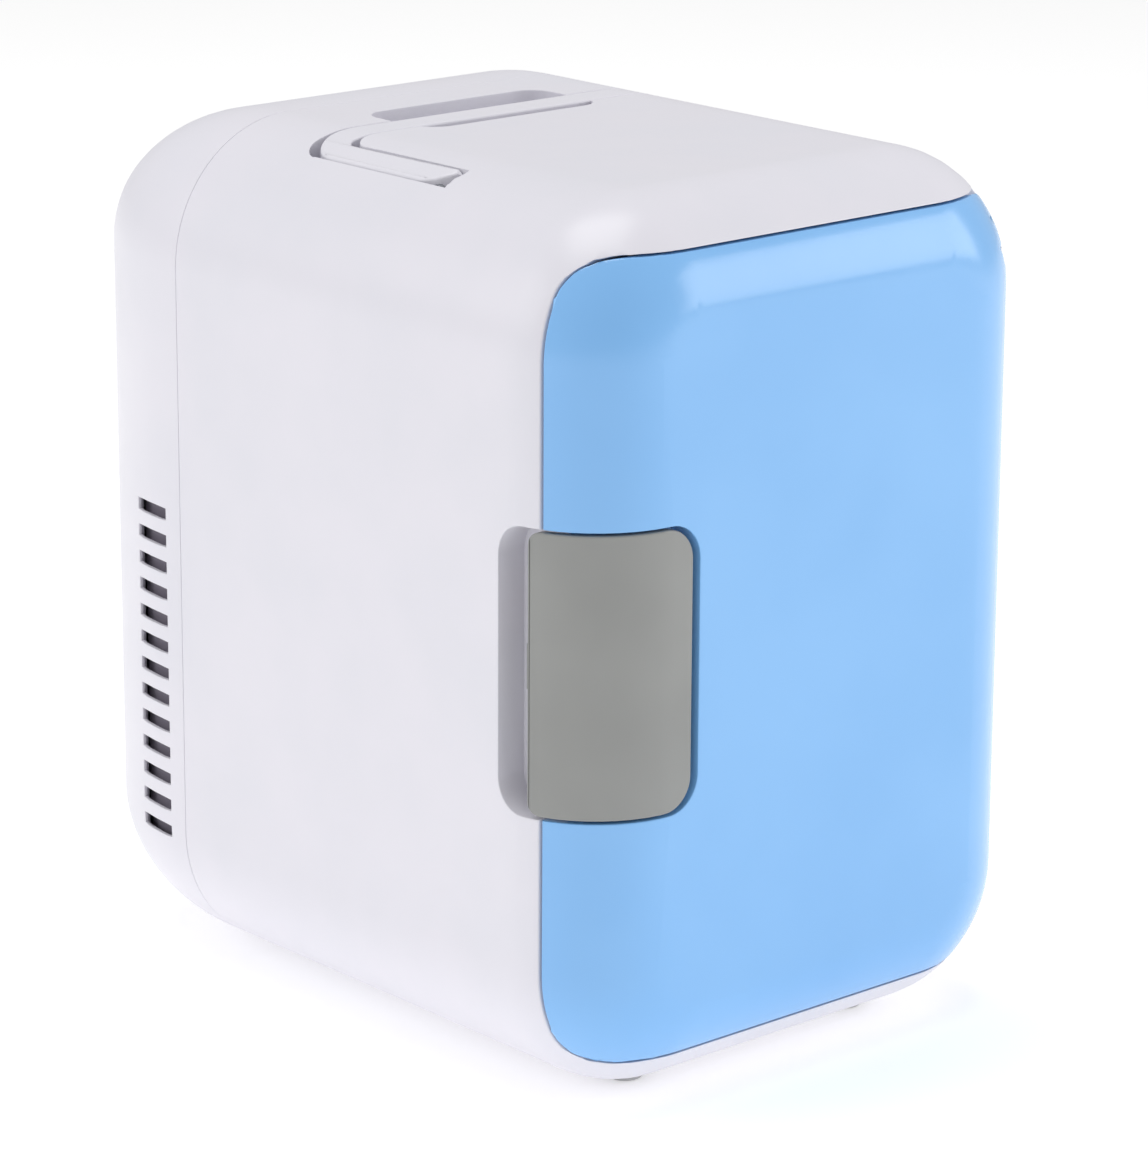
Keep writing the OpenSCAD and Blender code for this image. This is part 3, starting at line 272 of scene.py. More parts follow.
# rounds the sharp edges that lie in the outer surface, with the short edges that pinch them collapsed first
def roundRims(skin, width, steps=2, shortest=0.45):
    startEdit(skin, "EDGE")
    bpy.ops.mesh.select_all(action="SELECT")
    bpy.ops.mesh.dissolve_limited(angle_limit=math.radians(0.3))
    bpy.ops.mesh.select_all(action="SELECT")
    bpy.ops.mesh.dissolve_degenerate(threshold=shortest * mm)
    bpy.ops.mesh.select_all(action="DESELECT")
    bpy.ops.mesh.edges_select_sharp(sharpness=math.radians(35))
    bpy.ops.object.mode_set(mode="OBJECT")
    onSurface = [abs(depthBelow(v.co)) < rimReach for v in skin.data.vertices]
    rim = [e for e in skin.data.edges if e.select and all(onSurface[v] for v in e.vertices)]
    for edge in skin.data.edges:
        edge.select = False
    for face in skin.data.polygons:
        face.select = False
    for vertex in skin.data.vertices:
        vertex.select = False
    for edge in rim:
        edge.select = True
        for v in edge.vertices:
            skin.data.vertices[v].select = True
    bpy.ops.object.mode_set(mode="EDIT")
    bpy.ops.mesh.select_mode(type="EDGE")
    bpy.ops.mesh.bevel(offset=width * mm, segments=steps, affect="EDGES", clamp_overlap=False,
                       loop_slide=True)
    bpy.ops.mesh.select_all(action="SELECT")
    bpy.ops.mesh.remove_doubles(threshold=0.00002)
    endEdit()
    print(skin.name, "rim edges", len(rim))
    smooth(skin, 38)
    return applyModifier(skin, "WEIGHTED_NORMAL", keep_sharp=True)  # big flat faces stay flat to the eye


def cutAt(obj, y, keepFront):
    startEdit(obj)
    bpy.ops.mesh.select_all(action="SELECT")
    bpy.ops.mesh.bisect(plane_co=(0, y * mm, 0), plane_no=(0, 1, 0), use_fill=True,
                        clear_outer=keepFront, clear_inner=not keepFront)
    endEdit()
    return obj


def buildCabinet():
    skin = cutAt(outerForm("cabinetSkin"), seam, True)
    gap = door["gap"]
    low, high = door["low"] - gap, door["high"] + gap
    opening = prism("doorway", "x", (-220, low), (door["back"] + gap, high), -130, 130,
                    door["corner"] + gap, 12)
    carve(opening, hingeCorner(door["knuckle"] + gap))
    carve(skin, opening)
    carve(skin, rod("knuckleSweep", "z", door["pin"], low, high, door["knuckle"] + gap, 96))
    carve(skin, fingerRecess())
    well = carve(handlePlan(handle["gap"], handle["wellCorner"], handle["wellCorner"]),
                 outerForm("wellFloor", handle["thick"] + handle["gap"]))
    carve(skin, well)
    inner = handle["half"] - handle["arm"] - handle["gap"]
    for side in (-1, 1):
        low, high = sorted((side * inner, side * (handle["half"] + handle["gap"])))
        pocket = rod("nosePocket", "x", handle["pivot"], low, high, handle["nose"] + handle["noseGap"])
        carve(skin, pocket)
    troughFront = handle["back"] - handle["grip"] - 6
    trough = prism("trough", "z", (-handle["troughHalf"], troughFront),
                   (handle["troughHalf"], handle["back"] + handle["troughRun"]), midZ, topZ + 9, 9, 10)
    carve(skin, carve(trough, outerForm("troughFloor", handle["trough"])))
    carve(skin, prism("flangeSeat", "y", (-73.7, 29.3), (73.7, 246.7), parting - 2, parting + 1.5, 18.2))
    carve(skin, prism("linerSpace", "y", (-69.7, 33.3), (69.7, 242.7), parting - 2, coldBack + 2.2, 14.2))
    carve(skin, copyOfNode("cabinet_foam", "foamSpace"))
    carve(skin, prism("coolerSpace", "y", (-31, 66), (31, 129), coldBack, seam + 2))
    carve(skin, cutAt(outerForm("rearOpening", body["wall"]), 59.9, False))
    roundRims(skin, 0.5)
    print("cabinet skin", len(skin.data.polygons), "faces")
    return skin


cover = dict(cooler=97.5, fanHole=35.75, guardHole=36.4, wellX=50, wellZ=80, wellRadius=6,
             screwRadius=4.2, wellStart=70.2, socketZ=198.5, socketX=29, bezel=(13.2, 8.2),
             ventCount=13, ventPitch=8.7, ventHeight=4, ventStart=69.5, ventEnd=87, ventSkin=1.1)


# a block round one side's vents
def ventBand(side, margin):
    reach = (cover["ventCount"] - 1) / 2 * cover["ventPitch"] + cover["ventHeight"] / 2 + margin
    return prism("ventBand", "x", (cover["ventStart"] - margin, cover["cooler"] - reach),
                 (cover["ventEnd"] + margin, cover["cooler"] + reach), min(side * 70, side * 110),
                 max(side * 70, side * 110))


def buildRearCover():
    skin = cutAt(outerForm("rearCoverSkin"), seam, False)
    z = cover["socketZ"]
    for x, radius in ((cover["socketX"], 3), (0, 1.5)):
        wide, tall = cover["bezel"]
        carve(skin, prism("bezelHole", "y", (x - wide, z - tall), (x + wide, z + tall), 100, 140,
                          radius, 6))
    carve(skin, rod("socketHole", "y", (-cover["socketX"], z), 100, 140, 8.2))
    carve(skin, rod("fanOpening", "y", (0, cover["cooler"]), 100, 140, cover["guardHole"], 96))
    for x in (-7, 7):
        carve(skin, rod("lampHole", "y", (x, z + 18), 100, 140, 2.6, 32))
    for i in range(cover["ventCount"]):
        middle = cover["cooler"] + (i - (cover["ventCount"] - 1) / 2) * cover["ventPitch"]
        for side in (-1, 1):
            slot = prism("ventSlot", "x", (cover["ventStart"], middle - cover["ventHeight"] / 2),
                         (cover["ventEnd"], middle + cover["ventHeight"] / 2),
                         min(side * 80, side * 110), max(side * 80, side * 110), 0.6, 3)
            carve(skin, slot)
    carve(skin, outerForm("coverInside", body["wall"]))
    for side in (-1, 1):  # the wall is thinner round the vents
        carve(skin, carve(ventBand(side, 1), outerForm("ventSkin", cover["ventSkin"]), "INTERSECT"))
    for x in (-1, 1):
        for up in (-1, 1):
            place = (x * cover["wellX"], midZ + up * cover["wellZ"])
            well = rod("screwWell", "y", place, cover["wellStart"], 127, cover["wellRadius"])
            carve(skin, well, "UNION")
            carve(skin, rod("screwBore", "y", place, cover["wellStart"] + 2.5, 130, cover["screwRadius"]))
            carve(skin, rod("shankBore", "y", place, 60, 130, 1.9, 24))
            fan = (x * cover["fanHole"], cover["cooler"] + up * cover["fanHole"])
            carve(skin, rod("fanScrewHole", "y", fan, 120, 130, 2, 24))
            carve(skin, rod("fanScrewSeat", "y", fan, 126.5, 130, 3.4, 32))
    roundRims(skin, 0.4)
    print("rear cover skin", len(skin.data.polygons), "faces")
    return skin


felt = dict(inset=4, thick=0.8, margin=3)


# a thin dust felt behind each side's vents, bent like the wall
def buildVentFelts():
    sheets = []
    for side in (-1, 1):
        sheet = carve(ventBand(side, felt["margin"]), outerForm("feltFront", felt["inset"]), "INTERSECT")
        sheets.append(carve(sheet, outerForm("feltBack", felt["inset"] + felt["thick"])))
    return smooth(joinPieces(sheets))


guard = dict(hub=9, rings=(13.7, 19.7, 25.7, 31.7), wire=1.3, spokes=6, spokeWidth=3,
             front=125.6, back=127.9)


# rings and spokes over the fan, with a domed cap in the middle
def buildFanGuard():
    centre = cover["cooler"]
    middle = (guard["front"] + guard["back"]) / 2
    cap = rod("fanGuard", "y", (0, centre), guard["front"], guard["back"], guard["hub"], 64)
    startEdit(cap, "FACE")
    pickFaces(cap, lambda face: face.normal.y > 0.9)
    bpy.ops.mesh.bevel(offset=1 * mm, segments=4, affect="EDGES")
    endEdit()
    parts = [cap]
    for radius in (*guard["rings"], cover["guardHole"] + 0.2):
        bpy.ops.mesh.primitive_torus_add(major_radius=radius * mm, minor_radius=guard["wire"] * mm,
                                         major_segments=96, minor_segments=12, rotation=(straight, 0, 0),
                                         location=(0, middle * mm, centre * mm))
        ring = settle(bpy.context.object)
        startEdit(ring)
        bpy.ops.mesh.select_all(action="SELECT")
        bpy.ops.transform.resize(value=(1, (guard["back"] - guard["front"]) / 2 / guard["wire"], 1),
                                 center_override=(0, middle * mm, centre * mm))
        endEdit()
        parts.append(ring)
    for i in range(guard["spokes"]):
        bpy.ops.mesh.primitive_cube_add(size=1 * mm)
        spoke = bpy.context.object
        reach = cover["guardHole"] + 1 - guard["hub"] + 1
        spoke.scale = (guard["spokeWidth"], 2, reach)
        spoke.location = (0, middle * mm, (guard["hub"] - 1 + reach / 2) * mm)
        settle(spoke)
        roundEdges(spoke, 0.6, 3)
        spoke.matrix_world = (Matrix.Translation((0, 0, centre * mm))
                              @ Matrix.Rotation(math.tau * (i + 0.5) / guard["spokes"], 4, "Y"))
        parts.append(settle(spoke))
    return smooth(joinPieces(parts), 40)


def joinPieces(parts):
    bpy.ops.object.select_all(action="DESELECT")
    for part in parts:
        part.select_set(True)
    bpy.context.view_layer.objects.active = parts[0]
    bpy.ops.object.join()
    return parts[0]


def buildDoor():
    skin = outerForm("doorSkin")
    carve(skin, prism("doorOutline", "x", (-220, door["low"]), (door["back"], door["high"]), -130, 130,
                      door["corner"], 12), "INTERSECT")
    carve(skin, hingeCorner(door["knuckle"]))
    carve(skin, latchPocket())
    x, low, high, radius = door["window"]
    carve(skin, prism("doorWindow", "y", (-x - 0.2, low - 0.2), (x + 0.2, high + 0.2), door["back"] - 2.7,
                      door["back"] + 2, radius, 12))
    carve(skin, copyOfNode("door_foam", "foamSpace"))
    for z in hinge["heights"]:
        carve(skin, earSweep(z))
        carve(skin, rod("pinBore", "z", door["pin"], z - 10.5, z + 10.5, 2.05, 32))
    roundRims(skin, 0.5)
    print("door skin", len(skin.data.polygons), "faces")
    return skin


hinge = dict(heights=(37, 239), earRadius=4.6, earHeight=5, gap=0.4)


# the room that a hinge ear needs in the door as the door swings
def earSweep(z):
    x, y = door["pin"]
    half = hinge["earHeight"] / 2 + hinge["gap"]
    radius = hinge["earRadius"] + hinge["gap"]
    room = rod("earRoom", "z", (x, y), z - half, z + half, radius, 48)
    carve(room, prism("earFan", "z", (x - radius, y), (x + 18, y + 18), z - half, z + half), "UNION")
    side = prism("earSide", "z", (x, y - 3.5), (x + 18, y + 1), z - half, z + half)
    return carve(room, side, "UNION")


def buildHingeEars():
    ears = []
    for z in hinge["heights"]:
        x, y = door["pin"]
        low, high = z - hinge["earHeight"] / 2, z + hinge["earHeight"] / 2
        ear = rod("hingeEars", "z", (x, y), low, high, hinge["earRadius"], 48)
        arm = prism("earArm", "z", (x - hinge["earRadius"], y), (x, parting + 2), low, high)
        carve(ear, arm, "UNION")
        roundEdges(ear, 0.5, 2)
        ears.append(ear)
    return smooth(joinPieces(ears), 40)


def buildLatch():
    plate = outerForm("latchPlate")
    carve(plate, prism("plateFront", "y", (-130, latch["low"]), (latch["right"], latch["high"]),
                       -140, 0, 10, 14),
          "INTERSECT")
    carve(plate, prism("plateSide", "x", (-220, latch["low"]), (latch["tail"], latch["high"]),
                       -130, 0, 4, 8),
          "INTERSECT")
    carve(plate, outerForm("plateBack", latch["thick"]))
    roundRims(plate, 0.6, 3)
    x, y = latch["pin"]
    for up in (-1, 1):
        middle = midZ + up * latch["lugUp"]
        low, high = middle - latch["lugHalf"], middle + latch["lugHalf"]
        web = prism("lugWeb", "z", (x - latch["lug"], frontY + 1), (x + latch["lug"], y), low, high)
        carve(plate, web, "UNION")
        carve(plate, rod("lug", "z", (x, y), low, high, latch["lug"]), "UNION")
    carve(plate, rod("pinBore", "z", (x, y), midZ - 42, midZ + 42, 1.55, 32))
    hook = prism("hookArm", "y", (latch["left"] + 2, midZ - 7), (-88, midZ + 7), parting + 1, parting + 3)
    carve(plate, hook, "UNION")
    hook = prism("hook", "y", (-88, midZ - 7), (-86, midZ + 7), parting + 1, parting + 10, 0)
    carve(plate, roundEdges(hook, 0.4, 2), "UNION")
    print("latch plate", len(plate.data.polygons), "faces")
    return smooth(plate, 38)


def buildLatchEars():
    x, y = latch["pin"]
    ears = []
    for up in (-1, 1):
        middle = midZ + up * latch["earUp"]
        low, high = middle - latch["earHalf"], middle + latch["earHalf"]
        ear = rod("latchEars", "z", (x, y), low, high, latch["lug"])
        root = prism("earFoot", "z", (x - latch["lug"], y), (x + latch["lug"], y + 4.5), low, high)
        carve(ear, root, "UNION")
        carve(ear, rod("earBore", "z", (x, y), low - 1, high + 1, 1.5, 32))
        ears.append(roundEdges(ear, 0.3, 2))
    return smooth(joinPieces(ears), 40)


def buildHandle():
    loop = handlePlan(0, handle["corner"], 4)
    loop.name = "carryHandle"
    carve(loop, outerForm("handleTop"), "INTERSECT")
    carve(loop, outerForm("handleUnder", handle["thick"]))
    y, z = handle["pivot"]
    nose = prism("noseCut", "x", (y - 20, z - 30), (y, z + 30), -90, 90)
    carve(loop, carve(nose, rod("nose", "x", handle["pivot"], -95, 95, handle["nose"])))
    roundRims(loop, 0.8, 3)
    bore = handle["half"] - handle["arm"]
    for side in (-1, 1):
        low, high = sorted((side * (bore - 1), side * (bore + handle["arm"] - 1.4)))
        carve(loop, rod("pivotBore", "x", handle["pivot"], low, high, handle["pinRadius"] + 0.05, 32))
    print("carry handle", len(loop.data.polygons), "faces")
    return smooth(loop, 38)


foot = dict(radius=6, height=3, x=46, y=(-93, 48), rim=1.4, studRadius=2.5, studTop=12)


def buildFeet():
    feet = []
    for x in (-foot["x"], foot["x"]):
        for y in foot["y"]:
            pad = rod("feet", "z", (x, y), 0, foot["height"], foot["radius"], 64)
            startEdit(pad, "FACE")
            pickFaces(pad, lambda face: face.normal.z < -0.9)
            bpy.ops.mesh.bevel(offset=foot["rim"] * mm, segments=5, affect="EDGES")
            pickFaces(pad, lambda face: face.normal.z < -0.9 and face.area > 2e-5)
            for step, depth in ((0.7, 0), (0.5, -0.35), (0.7, 0), (0.5, 0.35)):
                bpy.ops.mesh.inset(thickness=step * mm, depth=depth * mm)
            endEdit()
            stud = rod("stud", "z", (x, y), foot["height"] - 0.1, foot["studTop"], foot["studRadius"], 32)
            feet += [pad, stud]
    return smooth(joinPieces(feet), 40)


# screws along Y with a crowned head and a cross recess; the head looks towards -shankEnd's side
def crossScrews(name, places, headY, headHeight, headRadius, shankRadius, shankEnd):
    out = 1 if headY > shankEnd else -1
    top = headY + out * headHeight
    head = rod(name, "y", (0, 0), min(headY, top), max(headY, top), headRadius, 40)
    startEdit(head, "FACE")
    pickFaces(head, lambda face: face.normal.y * out > 0.9)
    bpy.ops.mesh.bevel(offset=min(headHeight * 0.55, headRadius * 0.4) * mm, segments=4, affect="EDGES")
    endEdit()
    arm, width, depth = headRadius * 0.55, headRadius * 0.13, headHeight * 0.6
    for wide, tall in ((arm, width), (width, arm)):
        carve(head, prism("recess", "y", (-wide, -tall), (wide, tall), min(top, top - out * depth),
                          max(top, top - out * depth) + 0.01))
    shank = rod("shank", "y", (0, 0), min(shankEnd, headY), max(shankEnd, headY), shankRadius, 24)
    first = joinPieces([head, shank])
    screws = []
    for x, z in places:
        screw = first.copy()
        screw.data = first.data.copy()
        bpy.context.scene.collection.objects.link(screw)
        screw.location = (x * mm, 0, z * mm)
        screws.append(settle(screw))
    bpy.data.objects.remove(first)
    return smooth(joinPieces(screws), 40)


def corners(x, z, centre):
    return [(sx * x, centre + sz * z) for sx in (-1, 1) for sz in (-1, 1)]


# grid is the half spacing in X and Z and the centre's height; head is its seat in Y, height and radius;
# shank is its radius and where it ends in Y
screws = dict(coverScrews=dict(grid=(cover["wellX"], cover["wellZ"], midZ), head=(72.7, 2.5, 3.6),
                               shank=(1.5, 61), body="cabinet", node="cover_screws"),
              doorScrews=dict(grid=(58, 92, midZ), head=(-98, 1.8, 3), shank=(1.4, -119),
                              body="door", node="door_screws"),
              fanScrews=dict(grid=(cover["fanHole"], cover["fanHole"], cover["cooler"]),
                             head=(126.5, 1.4, 3.2), shank=(1.9, 112), body="cabinet", node="fan_screws"))


gasket = dict(half=70.5, low=34.5, high=241.5, width=7.5, front=-108.1, back=-106.1, outer=12, inner=8)


# magnetic seal: a flat bead with two soft ribs towards the cabinet
def buildGasket():
    g = gasket
    ring = prism("doorGasket", "y", (-g["half"], g["low"]), (g["half"], g["high"]), g["front"], g["back"],
                 g["outer"], 12)
    carve(ring, prism("gasketInside", "y", (-g["half"] + g["width"], g["low"] + g["width"]),
                      (g["half"] - g["width"], g["high"] - g["width"]), g["front"] - 1, g["back"] + 1,
                      g["inner"], 12))
    for start, end in ((1.4, 2.3), (3.5, 4.4), (5.4, 6.2)):
        groove = prism("groove", "y", (-g["half"] + start, g["low"] + start),
                       (g["half"] - start, g["high"] - start),
                       g["back"] - 0.5, g["back"] + 1, g["outer"] - start, 12)
        carve(groove, prism("grooveInside", "y", (-g["half"] + end, g["low"] + end),
                            (g["half"] - end, g["high"] - end), g["back"] - 2, g["back"] + 2,
                            max(g["outer"] - end, 6), 12))
        carve(ring, groove)
    roundEdges(ring, 0.15, 2)
    return smooth(ring, 40)


# sRGB hex to the linear colour that the shader takes
def colour(code):
    parts = [int(code[i:i + 2], 16) / 255 for i in (0, 2, 4)]
    return [p / 12.92 if p <= 0.04045 else ((p + 0.055) / 1.055) ** 2.4 for p in parts] + [1]


# adds a node; settings are attributes or input values, links are input: (node, output)
def addNode(tree, kind, settings=None, links=None):
    node = tree.nodes.new(kind)
    for name, value in (settings or {}).items():
        if isinstance(name, int) or name in node.inputs:
            node.inputs[name].default_value = value
        else:
            setattr(node, name, value)
    for name, (source, output) in (links or {}).items():
        tree.links.new(source.outputs[output], node.inputs[name])
    return node


# a principled shader with its one-value settings; returns what the pattern nodes need
def finish(name, code, rough, ior=1.5, metallic=0.0, **more):
    material = bpy.data.materials.new(name)
    material.use_nodes = True
    tree = material.node_tree
    shader = tree.nodes["Principled BSDF"]
    values = {"Base Color": colour(code), "Roughness": rough, "Metallic": metallic, **more}
    if not metallic:
        values["IOR"] = ior
    for key, value in values.items():
        shader.inputs[key].default_value = value
    coords = addNode(tree, "ShaderNodeTexCoord")
    return material, tree, shader, coords


# noise whose blobs are about sizeMm across; stretch scales it along each axis
def noise(tree, coords, sizeMm, detail=2, stretch=None):
    source, output = coords, "Object"
    if stretch:
        source = addNode(tree, "ShaderNodeMapping", {"Scale": stretch}, {"Vector": (coords, "Object")})
        output = "Vector"
    return addNode(tree, "ShaderNodeTexNoise", {"Scale": 1000 / sizeMm, "Detail": detail},
                   {"Vector": (source, output)})


def bump(tree, shader, height, output, depthMm, strength=1.0):
    node = addNode(tree, "ShaderNodeBump", {"Strength": strength, "Distance": depthMm * mm},
                   {"Height": (height, output)})
    tree.links.new(node.outputs["Normal"], shader.inputs["Normal"])
    return node


def roughRange(tree, shader, source, output, low, high):
    limits = {"From Min": 0.3, "From Max": 0.7, "To Min": low, "To Max": high}
    node = addNode(tree, "ShaderNodeMapRange", limits, {"Value": (source, output)})
    tree.links.new(node.outputs["Result"], shader.inputs["Roughness"])


def tint(tree, shader, source, output, codes, stops=(0.35, 0.65)):
    ramp = addNode(tree, "ShaderNodeValToRGB", {}, {"Fac": (source, output)})
    for element, code, stop in zip(ramp.color_ramp.elements, codes, stops):
        element.color = colour(code)
        element.position = stop
    tree.links.new(ramp.outputs["Color"], shader.inputs["Base Color"])
    return ramp


# injection-moulded plastic: spark-eroded grain, a slow ripple of shrinkage and a little shine
def mouldedPlastic(name, code, rough, grainMm=0.35, grainDepth=0.004, shade=None, coat=0.0, **more):
    material, tree, shader, coords = finish(name, code, rough, 1.53, **more)
    grain = noise(tree, coords, grainMm, 2)
    patches = noise(tree, coords, 38, 2)
    bump(tree, shader, grain, "Fac", grainDepth, 0.6)
    roughRange(tree, shader, patches, "Fac", rough * 0.88, rough * 1.12)
    if shade:
        tint(tree, shader, patches, "Fac", (code, shade))
    if coat:
        shader.inputs["Coat Weight"].default_value = coat
        shader.inputs["Coat Roughness"].default_value = 0.08
    return material


# high-gloss ABS from a polished mould: clear skin, faint long ripple, hairline scuffs in the gloss
def pianoPlastic(name, code, shade, rough):
    material, tree, shader, coords = finish(name, code, rough, 1.54)
    ripple = noise(tree, coords, 16, 1)
    scuffs = noise(tree, coords, 1.2, 3, (1, 1, 0.12))
    patches = noise(tree, coords, 55, 2)
    bump(tree, shader, ripple, "Fac", 0.012, 0.35)
    roughRange(tree, shader, scuffs, "Fac", rough * 0.85, rough * 1.25)
    tint(tree, shader, patches, "Fac", (code, shade))
    shader.inputs["Coat Weight"].default_value = 0.35
    shader.inputs["Coat Roughness"].default_value = 0.2
    return material


# zinc-plated steel: fine crystal spangle and cloudy brightness
def platedSteel(name, code, rough):
    material, tree, shader, coords = finish(name, code, rough, metallic=1.0)
    spangle = addNode(tree, "ShaderNodeTexVoronoi", {"Scale": 1000 / 0.8}, {"Vector": (coords, "Object")})
    clouds = noise(tree, coords, 5, 3)
    bump(tree, shader, spangle, "Distance", 0.01, 0.4)
    roughRange(tree, shader, clouds, "Fac", rough * 0.8, rough * 1.3)
    return material


# extruded aluminium: die lines along X, 0.4 mm apart, on a dull bright metal
def extrudedAluminium(name, code, rough):
    material, tree, shader, coords = finish(name, code, rough, metallic=1.0)
    lines = noise(tree, coords, 0.4, 2, (0.02, 1, 1))
    clouds = noise(tree, coords, 9, 2)
    bump(tree, shader, lines, "Fac", 0.01, 0.5)
    roughRange(tree, shader, clouds, "Fac", rough * 0.85, rough * 1.2)
    return material


# moulded rubber or cable sleeve: dull, with a fine mottled skin
def softRubber(name, code, rough):
    material, tree, shader, coords = finish(name, code, rough, 1.52)
    skin = noise(tree, coords, 0.5, 3)
    bump(tree, shader, skin, "Fac", 0.015, 0.5)
    roughRange(tree, shader, skin, "Fac", rough * 0.9, min(rough * 1.1, 1))
    return material


# rigid polyurethane foam: closed cells about 1.2 mm across, drawn as pits
def wallFoam(name, code, shade):
    material, tree, shader, coords = finish(name, code, 0.9, 1.45)
    cells = addNode(tree, "ShaderNodeTexVoronoi", {"Scale": 1000 / 1.2}, {"Vector": (coords, "Object")})
    patches = noise(tree, coords, 20, 2)
    bump(tree, shader, cells, "Distance", 0.2, 0.6)
    tint(tree, shader, patches, "Fac", (code, shade))
    return material


# frosted polystyrene: lets light through, with a faint grain in its skin
def clearPlastic(name, code, rough):
    material, tree, shader, coords = finish(name, code, rough, 1.59, **{"Transmission Weight": 0.3})
    grain = noise(tree, coords, 0.6, 2)
    bump(tree, shader, grain, "Fac", 0.01, 0.4)
    roughRange(tree, shader, grain, "Fac", rough * 0.9, rough * 1.1)
    return material


# solder mask over copper: straight tracks 1.3 mm apart show as paler, raised lines
def boardLacquer(name, code, shade):
    material, tree, shader, coords = finish(name, code, 0.3, 1.5)
    upright = addNode(tree, "ShaderNodeMapping", {"Rotation": (straight, 0, 0)},
                      {"Vector": (coords, "Object")})
    pattern = {"Scale": 1000 / 26, "Mortar Size": 0.012, "Color1": colour(code), "Color2": colour(code),
               "Mortar": colour(shade)}
    tracks = addNode(tree, "ShaderNodeTexBrick", pattern, {"Vector": (upright, "Vector")})
    tree.links.new(tracks.outputs["Color"], shader.inputs["Base Color"])
    bump(tree, shader, tracks, "Fac", 0.03, 0.5)
    return material


# enamelled copper wire laid turn by turn, 0.3 mm apart
def woundWire(name, code, shade):
    material, tree, shader, coords = finish(name, code, 0.3, metallic=1.0)
    pattern = {"Scale": 1000 / 0.3 / 20, "Distortion": 0.4, "bands_direction": "Y"}
    turns = addNode(tree, "ShaderNodeTexWave", pattern, {"Vector": (coords, "Object")})
    tint(tree, shader, turns, "Fac", (code, shade), (0.2, 0.8))
    bump(tree, shader, turns, "Fac", 0.05, 0.7)
    return material


finishes = {
    "cabinet_white": mouldedPlastic("satinAbsWhite", "e6e4ec", 0.34, 0.4, 0.003, "e3e2ea"),
    "frame_white": mouldedPlastic("ribbedAbsWhite", "d9d8de", 0.5, 0.6, 0.01, "d2d1d8"),
    "liner_white": mouldedPlastic("thermoformedPolystyrene", "e9e9ee", 0.26, 0.9, 0.006, "e4e5ec"),
    "foam": wallFoam("rigidFoam", "efe7cf", "e6dcc0"),
    "aluminium": extrudedAluminium("extrudedAluminium", "c9cbce", 0.34),
    "steel": platedSteel("zincPlatedSteel", "b9bcc0", 0.32),
    "ceramic": mouldedPlastic("aluminaCeramic", "e8e6df", 0.55, 0.25, 0.01, "dedbd2"),
    "black_plastic": mouldedPlastic("blackAbs", "1b1b1e", 0.42, 0.5, 0.015, "222226"),
    "black_rubber": softRubber("blackRubber", "161617", 0.75),
    "bronze": platedSteel("sinteredBronze", "a8824b", 0.45),
    "copper": woundWire("enamelledCopper", "b4683a", "7d3f1f"),
    "magnet": softRubber("bondedFerrite", "3b3b40", 0.6),
    "board_green": boardLacquer("boardLacquer", "14502c", "2b7a48"),
    "transformer_tape": mouldedPlastic("polyesterTape", "d3b13d", 0.35, 0.8, 0.01, "c7a432"),
    "capacitor_sleeve": mouldedPlastic("shrinkSleeve", "27307a", 0.3, 0.7, 0.006, "212968"),
    "rocker_red": mouldedPlastic("redAbs", "b8231c", 0.3, 0.4, 0.006, "ad2019"),
    "lamp": mouldedPlastic("tintedLens", "58b56a", 0.15, 1.5, 0.003, "4cab60",
                           **{"Transmission Weight": 0.4}),
    "foot_grey": softRubber("greyRubber", "b4b4b6", 0.62),
    "shelf_clear": clearPlastic("frostedPolystyrene", "f1f5f8", 0.22),
    "door_blue": pianoPlastic("glossAbsBlue", "87c1f8", "82bdf5", 0.2),
    "gasket_grey": softRubber("magneticSealVinyl", "c3c3c8", 0.55),
    "latch_grey": mouldedPlastic("satinAbsGrey", "979896", 0.36, 0.35, 0.005, "929391"),
    "felt": softRubber("dustFelt", "8d8794", 0.9),
}


def paint(obj, slotName):
    obj.data.materials.clear()
    obj.data.materials.append(finishes[slotName])
    for face in obj.data.polygons:
        face.material_index = 0


# a finished piece takes its name, finish, slot and body, and stands for its CAD nodes
def place(obj, name, bodyName, slotName, *nodes):
    obj.name = name
    paint(obj, slotName)
    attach(obj, bodyName)
    if nodes:
        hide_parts(*nodes)
    return obj


place(buildCabinet(), "cabinetSkin", "cabinet", "cabinet_white", "cabinet_shell")
place(buildHingeEars(), "hingeEars", "cabinet", "cabinet_white", "cabinet_shell")
place(buildRearCover(), "rearCoverSkin", "cabinet", "cabinet_white", "rear_cover")
place(buildFanGuard(), "fanGuard", "cabinet", "cabinet_white", "rear_cover")
paint(place(buildVentFelts(), "ventFelts", "cabinet", "black_plastic"), "felt")
place(buildDoor(), "doorSkin", "door", "door_blue", "door_shell")
place(buildLatchEars(), "latchEars", "door", "door_blue", "door_shell")
place(buildLatch(), "latchPlate", "latch", "latch_grey", "latch_handle")
place(buildHandle(), "carryHandle", "handle", "cabinet_white", "carry_handle")
place(buildFeet(), "rubberFeet", "cabinet", "foot_grey", "feet")
place(buildGasket(), "doorSeal", "door", "gasket_grey", "door_gasket")
for name, row in screws.items():
    fasteners = crossScrews(name, corners(*row["grid"]), *row["head"], *row["shank"])
    place(fasteners, name, row["body"], "steel", row["node"])
print("pieces placed")

slotOf = {row["node"]: row["material_slot"] for row in frame["record"]["subparts"]}
for nodeName, obj in frame["nodes"].items():
    paint(obj, slotOf[nodeName])
print("CAD nodes painted")


studio = dict(floor="ffffff", floorSize=8, floorGlow=0.30, worldStrength=0.50, aim=0.14,
              lights=[dict(name="leftLight", place=(-1.64, 1.0, 1.0), size=(1.2, 1.2), power=6),
                      dict(name="rightLight", place=(1.5, -1.4, 0.75), size=(1.2, 1.1), power=11),
                      dict(name="topLight", place=(-0.2, 0.2, 2.2), size=(1.4, 1.4), power=19)])


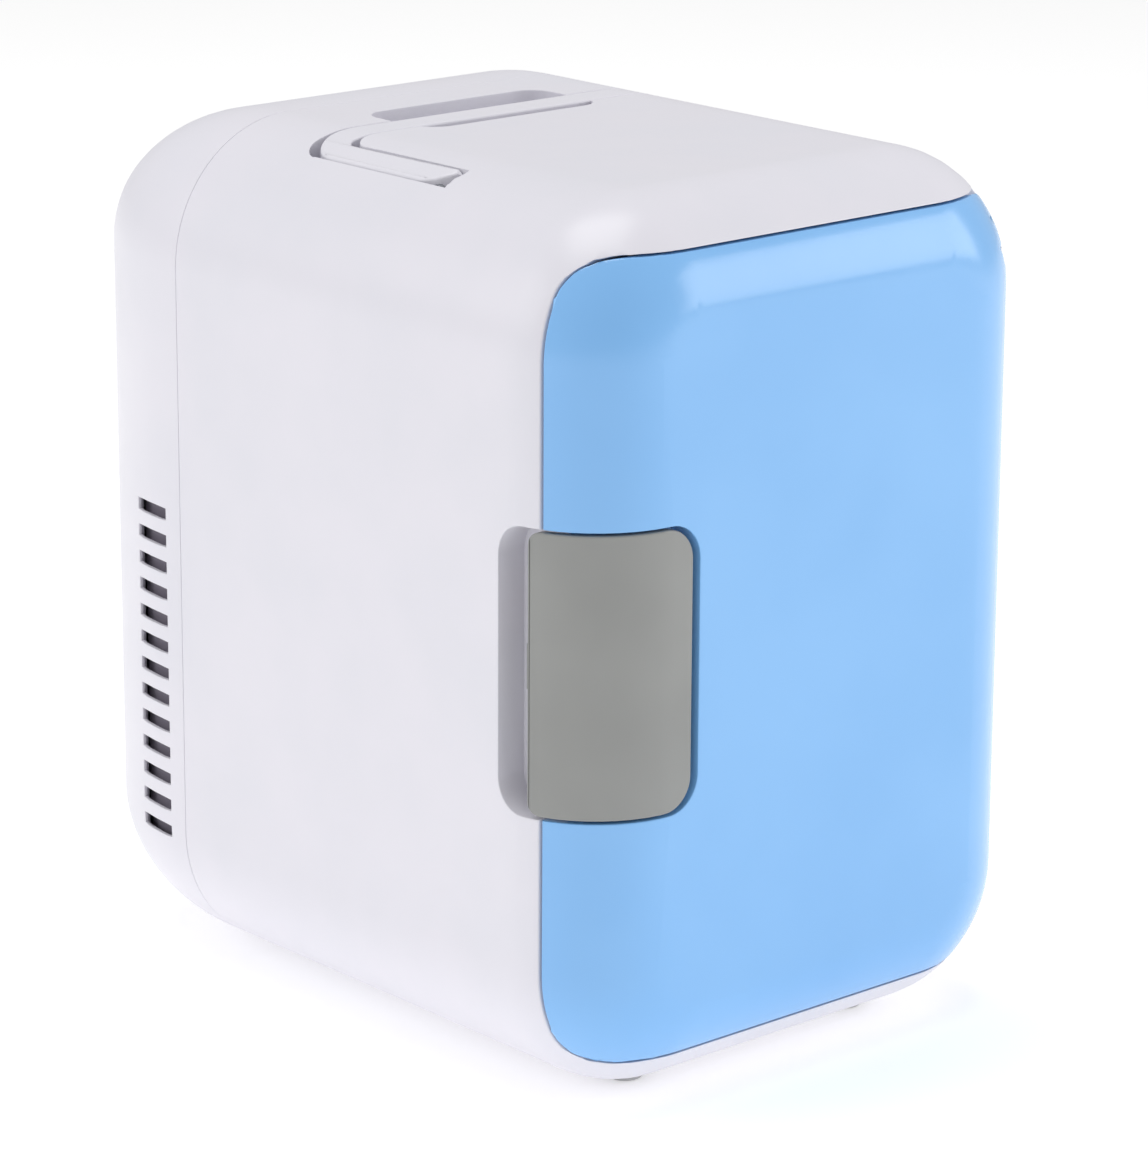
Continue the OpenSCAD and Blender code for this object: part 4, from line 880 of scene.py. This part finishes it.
def buildStudio():
    bpy.ops.mesh.primitive_plane_add(size=studio["floorSize"])
    floor = bpy.context.object
    floor.name = "studioFloor"
    material, tree, shader, coords = finish("studioPaper", studio["floor"], 0.9)
    bump(tree, shader, noise(tree, coords, 3, 2), "Fac", 0.02, 0.2)
    shader.inputs["Emission Color"].default_value = (1, 1, 1, 1)
    shader.inputs["Emission Strength"].default_value = studio["floorGlow"]
    floor.data.materials.append(material)
    world = bpy.data.worlds.new("studioSky")
    world.use_nodes = True
    background = world.node_tree.nodes["Background"]
    background.inputs["Color"].default_value = (1, 1, 1, 1)
    background.inputs["Strength"].default_value = studio["worldStrength"]
    bpy.context.scene.world = world
    for row in studio["lights"]:
        lamp = bpy.data.lights.new(row["name"], "AREA")
        lamp.shape = "RECTANGLE"
        lamp.size, lamp.size_y = row["size"]
        lamp.energy = row["power"]
        obj = bpy.data.objects.new(row["name"], lamp)
        obj.location = row["place"]
        towards = Vector((0, 0, studio["aim"])) - obj.location
        obj.rotation_euler = towards.to_track_quat("-Z", "Y").to_euler()
        bpy.context.scene.collection.objects.link(obj)
    bpy.context.scene.view_settings.view_transform = "Standard"


view = dict(target=(0, 0, 0.138), distance=1.4701, azimuth=-40.91, elevation=15.61, roll=0.17,
            lens=146.2, sensor=36, shift=(0.0302, -0.0276))


def buildCamera():
    azimuth, elevation = math.radians(view["azimuth"]), math.radians(view["elevation"])
    back = Vector((math.sin(azimuth) * math.cos(elevation), -math.cos(azimuth) * math.cos(elevation),
                   math.sin(elevation)))
    camera = bpy.data.objects.new("camera", bpy.data.cameras.new("camera"))
    bpy.context.scene.collection.objects.link(camera)
    camera.matrix_world = (Matrix.Translation(Vector(view["target"]) + view["distance"] * back)
                           @ back.to_track_quat("Z", "Y").to_matrix().to_4x4()
                           @ Matrix.Rotation(math.radians(view["roll"]), 4, "Z"))
    camera.data.lens = view["lens"]
    camera.data.sensor_width = view["sensor"]
    camera.data.shift_x, camera.data.shift_y = view["shift"]
    bpy.context.scene.camera = camera


buildStudio()
buildCamera()
print("studio ready")
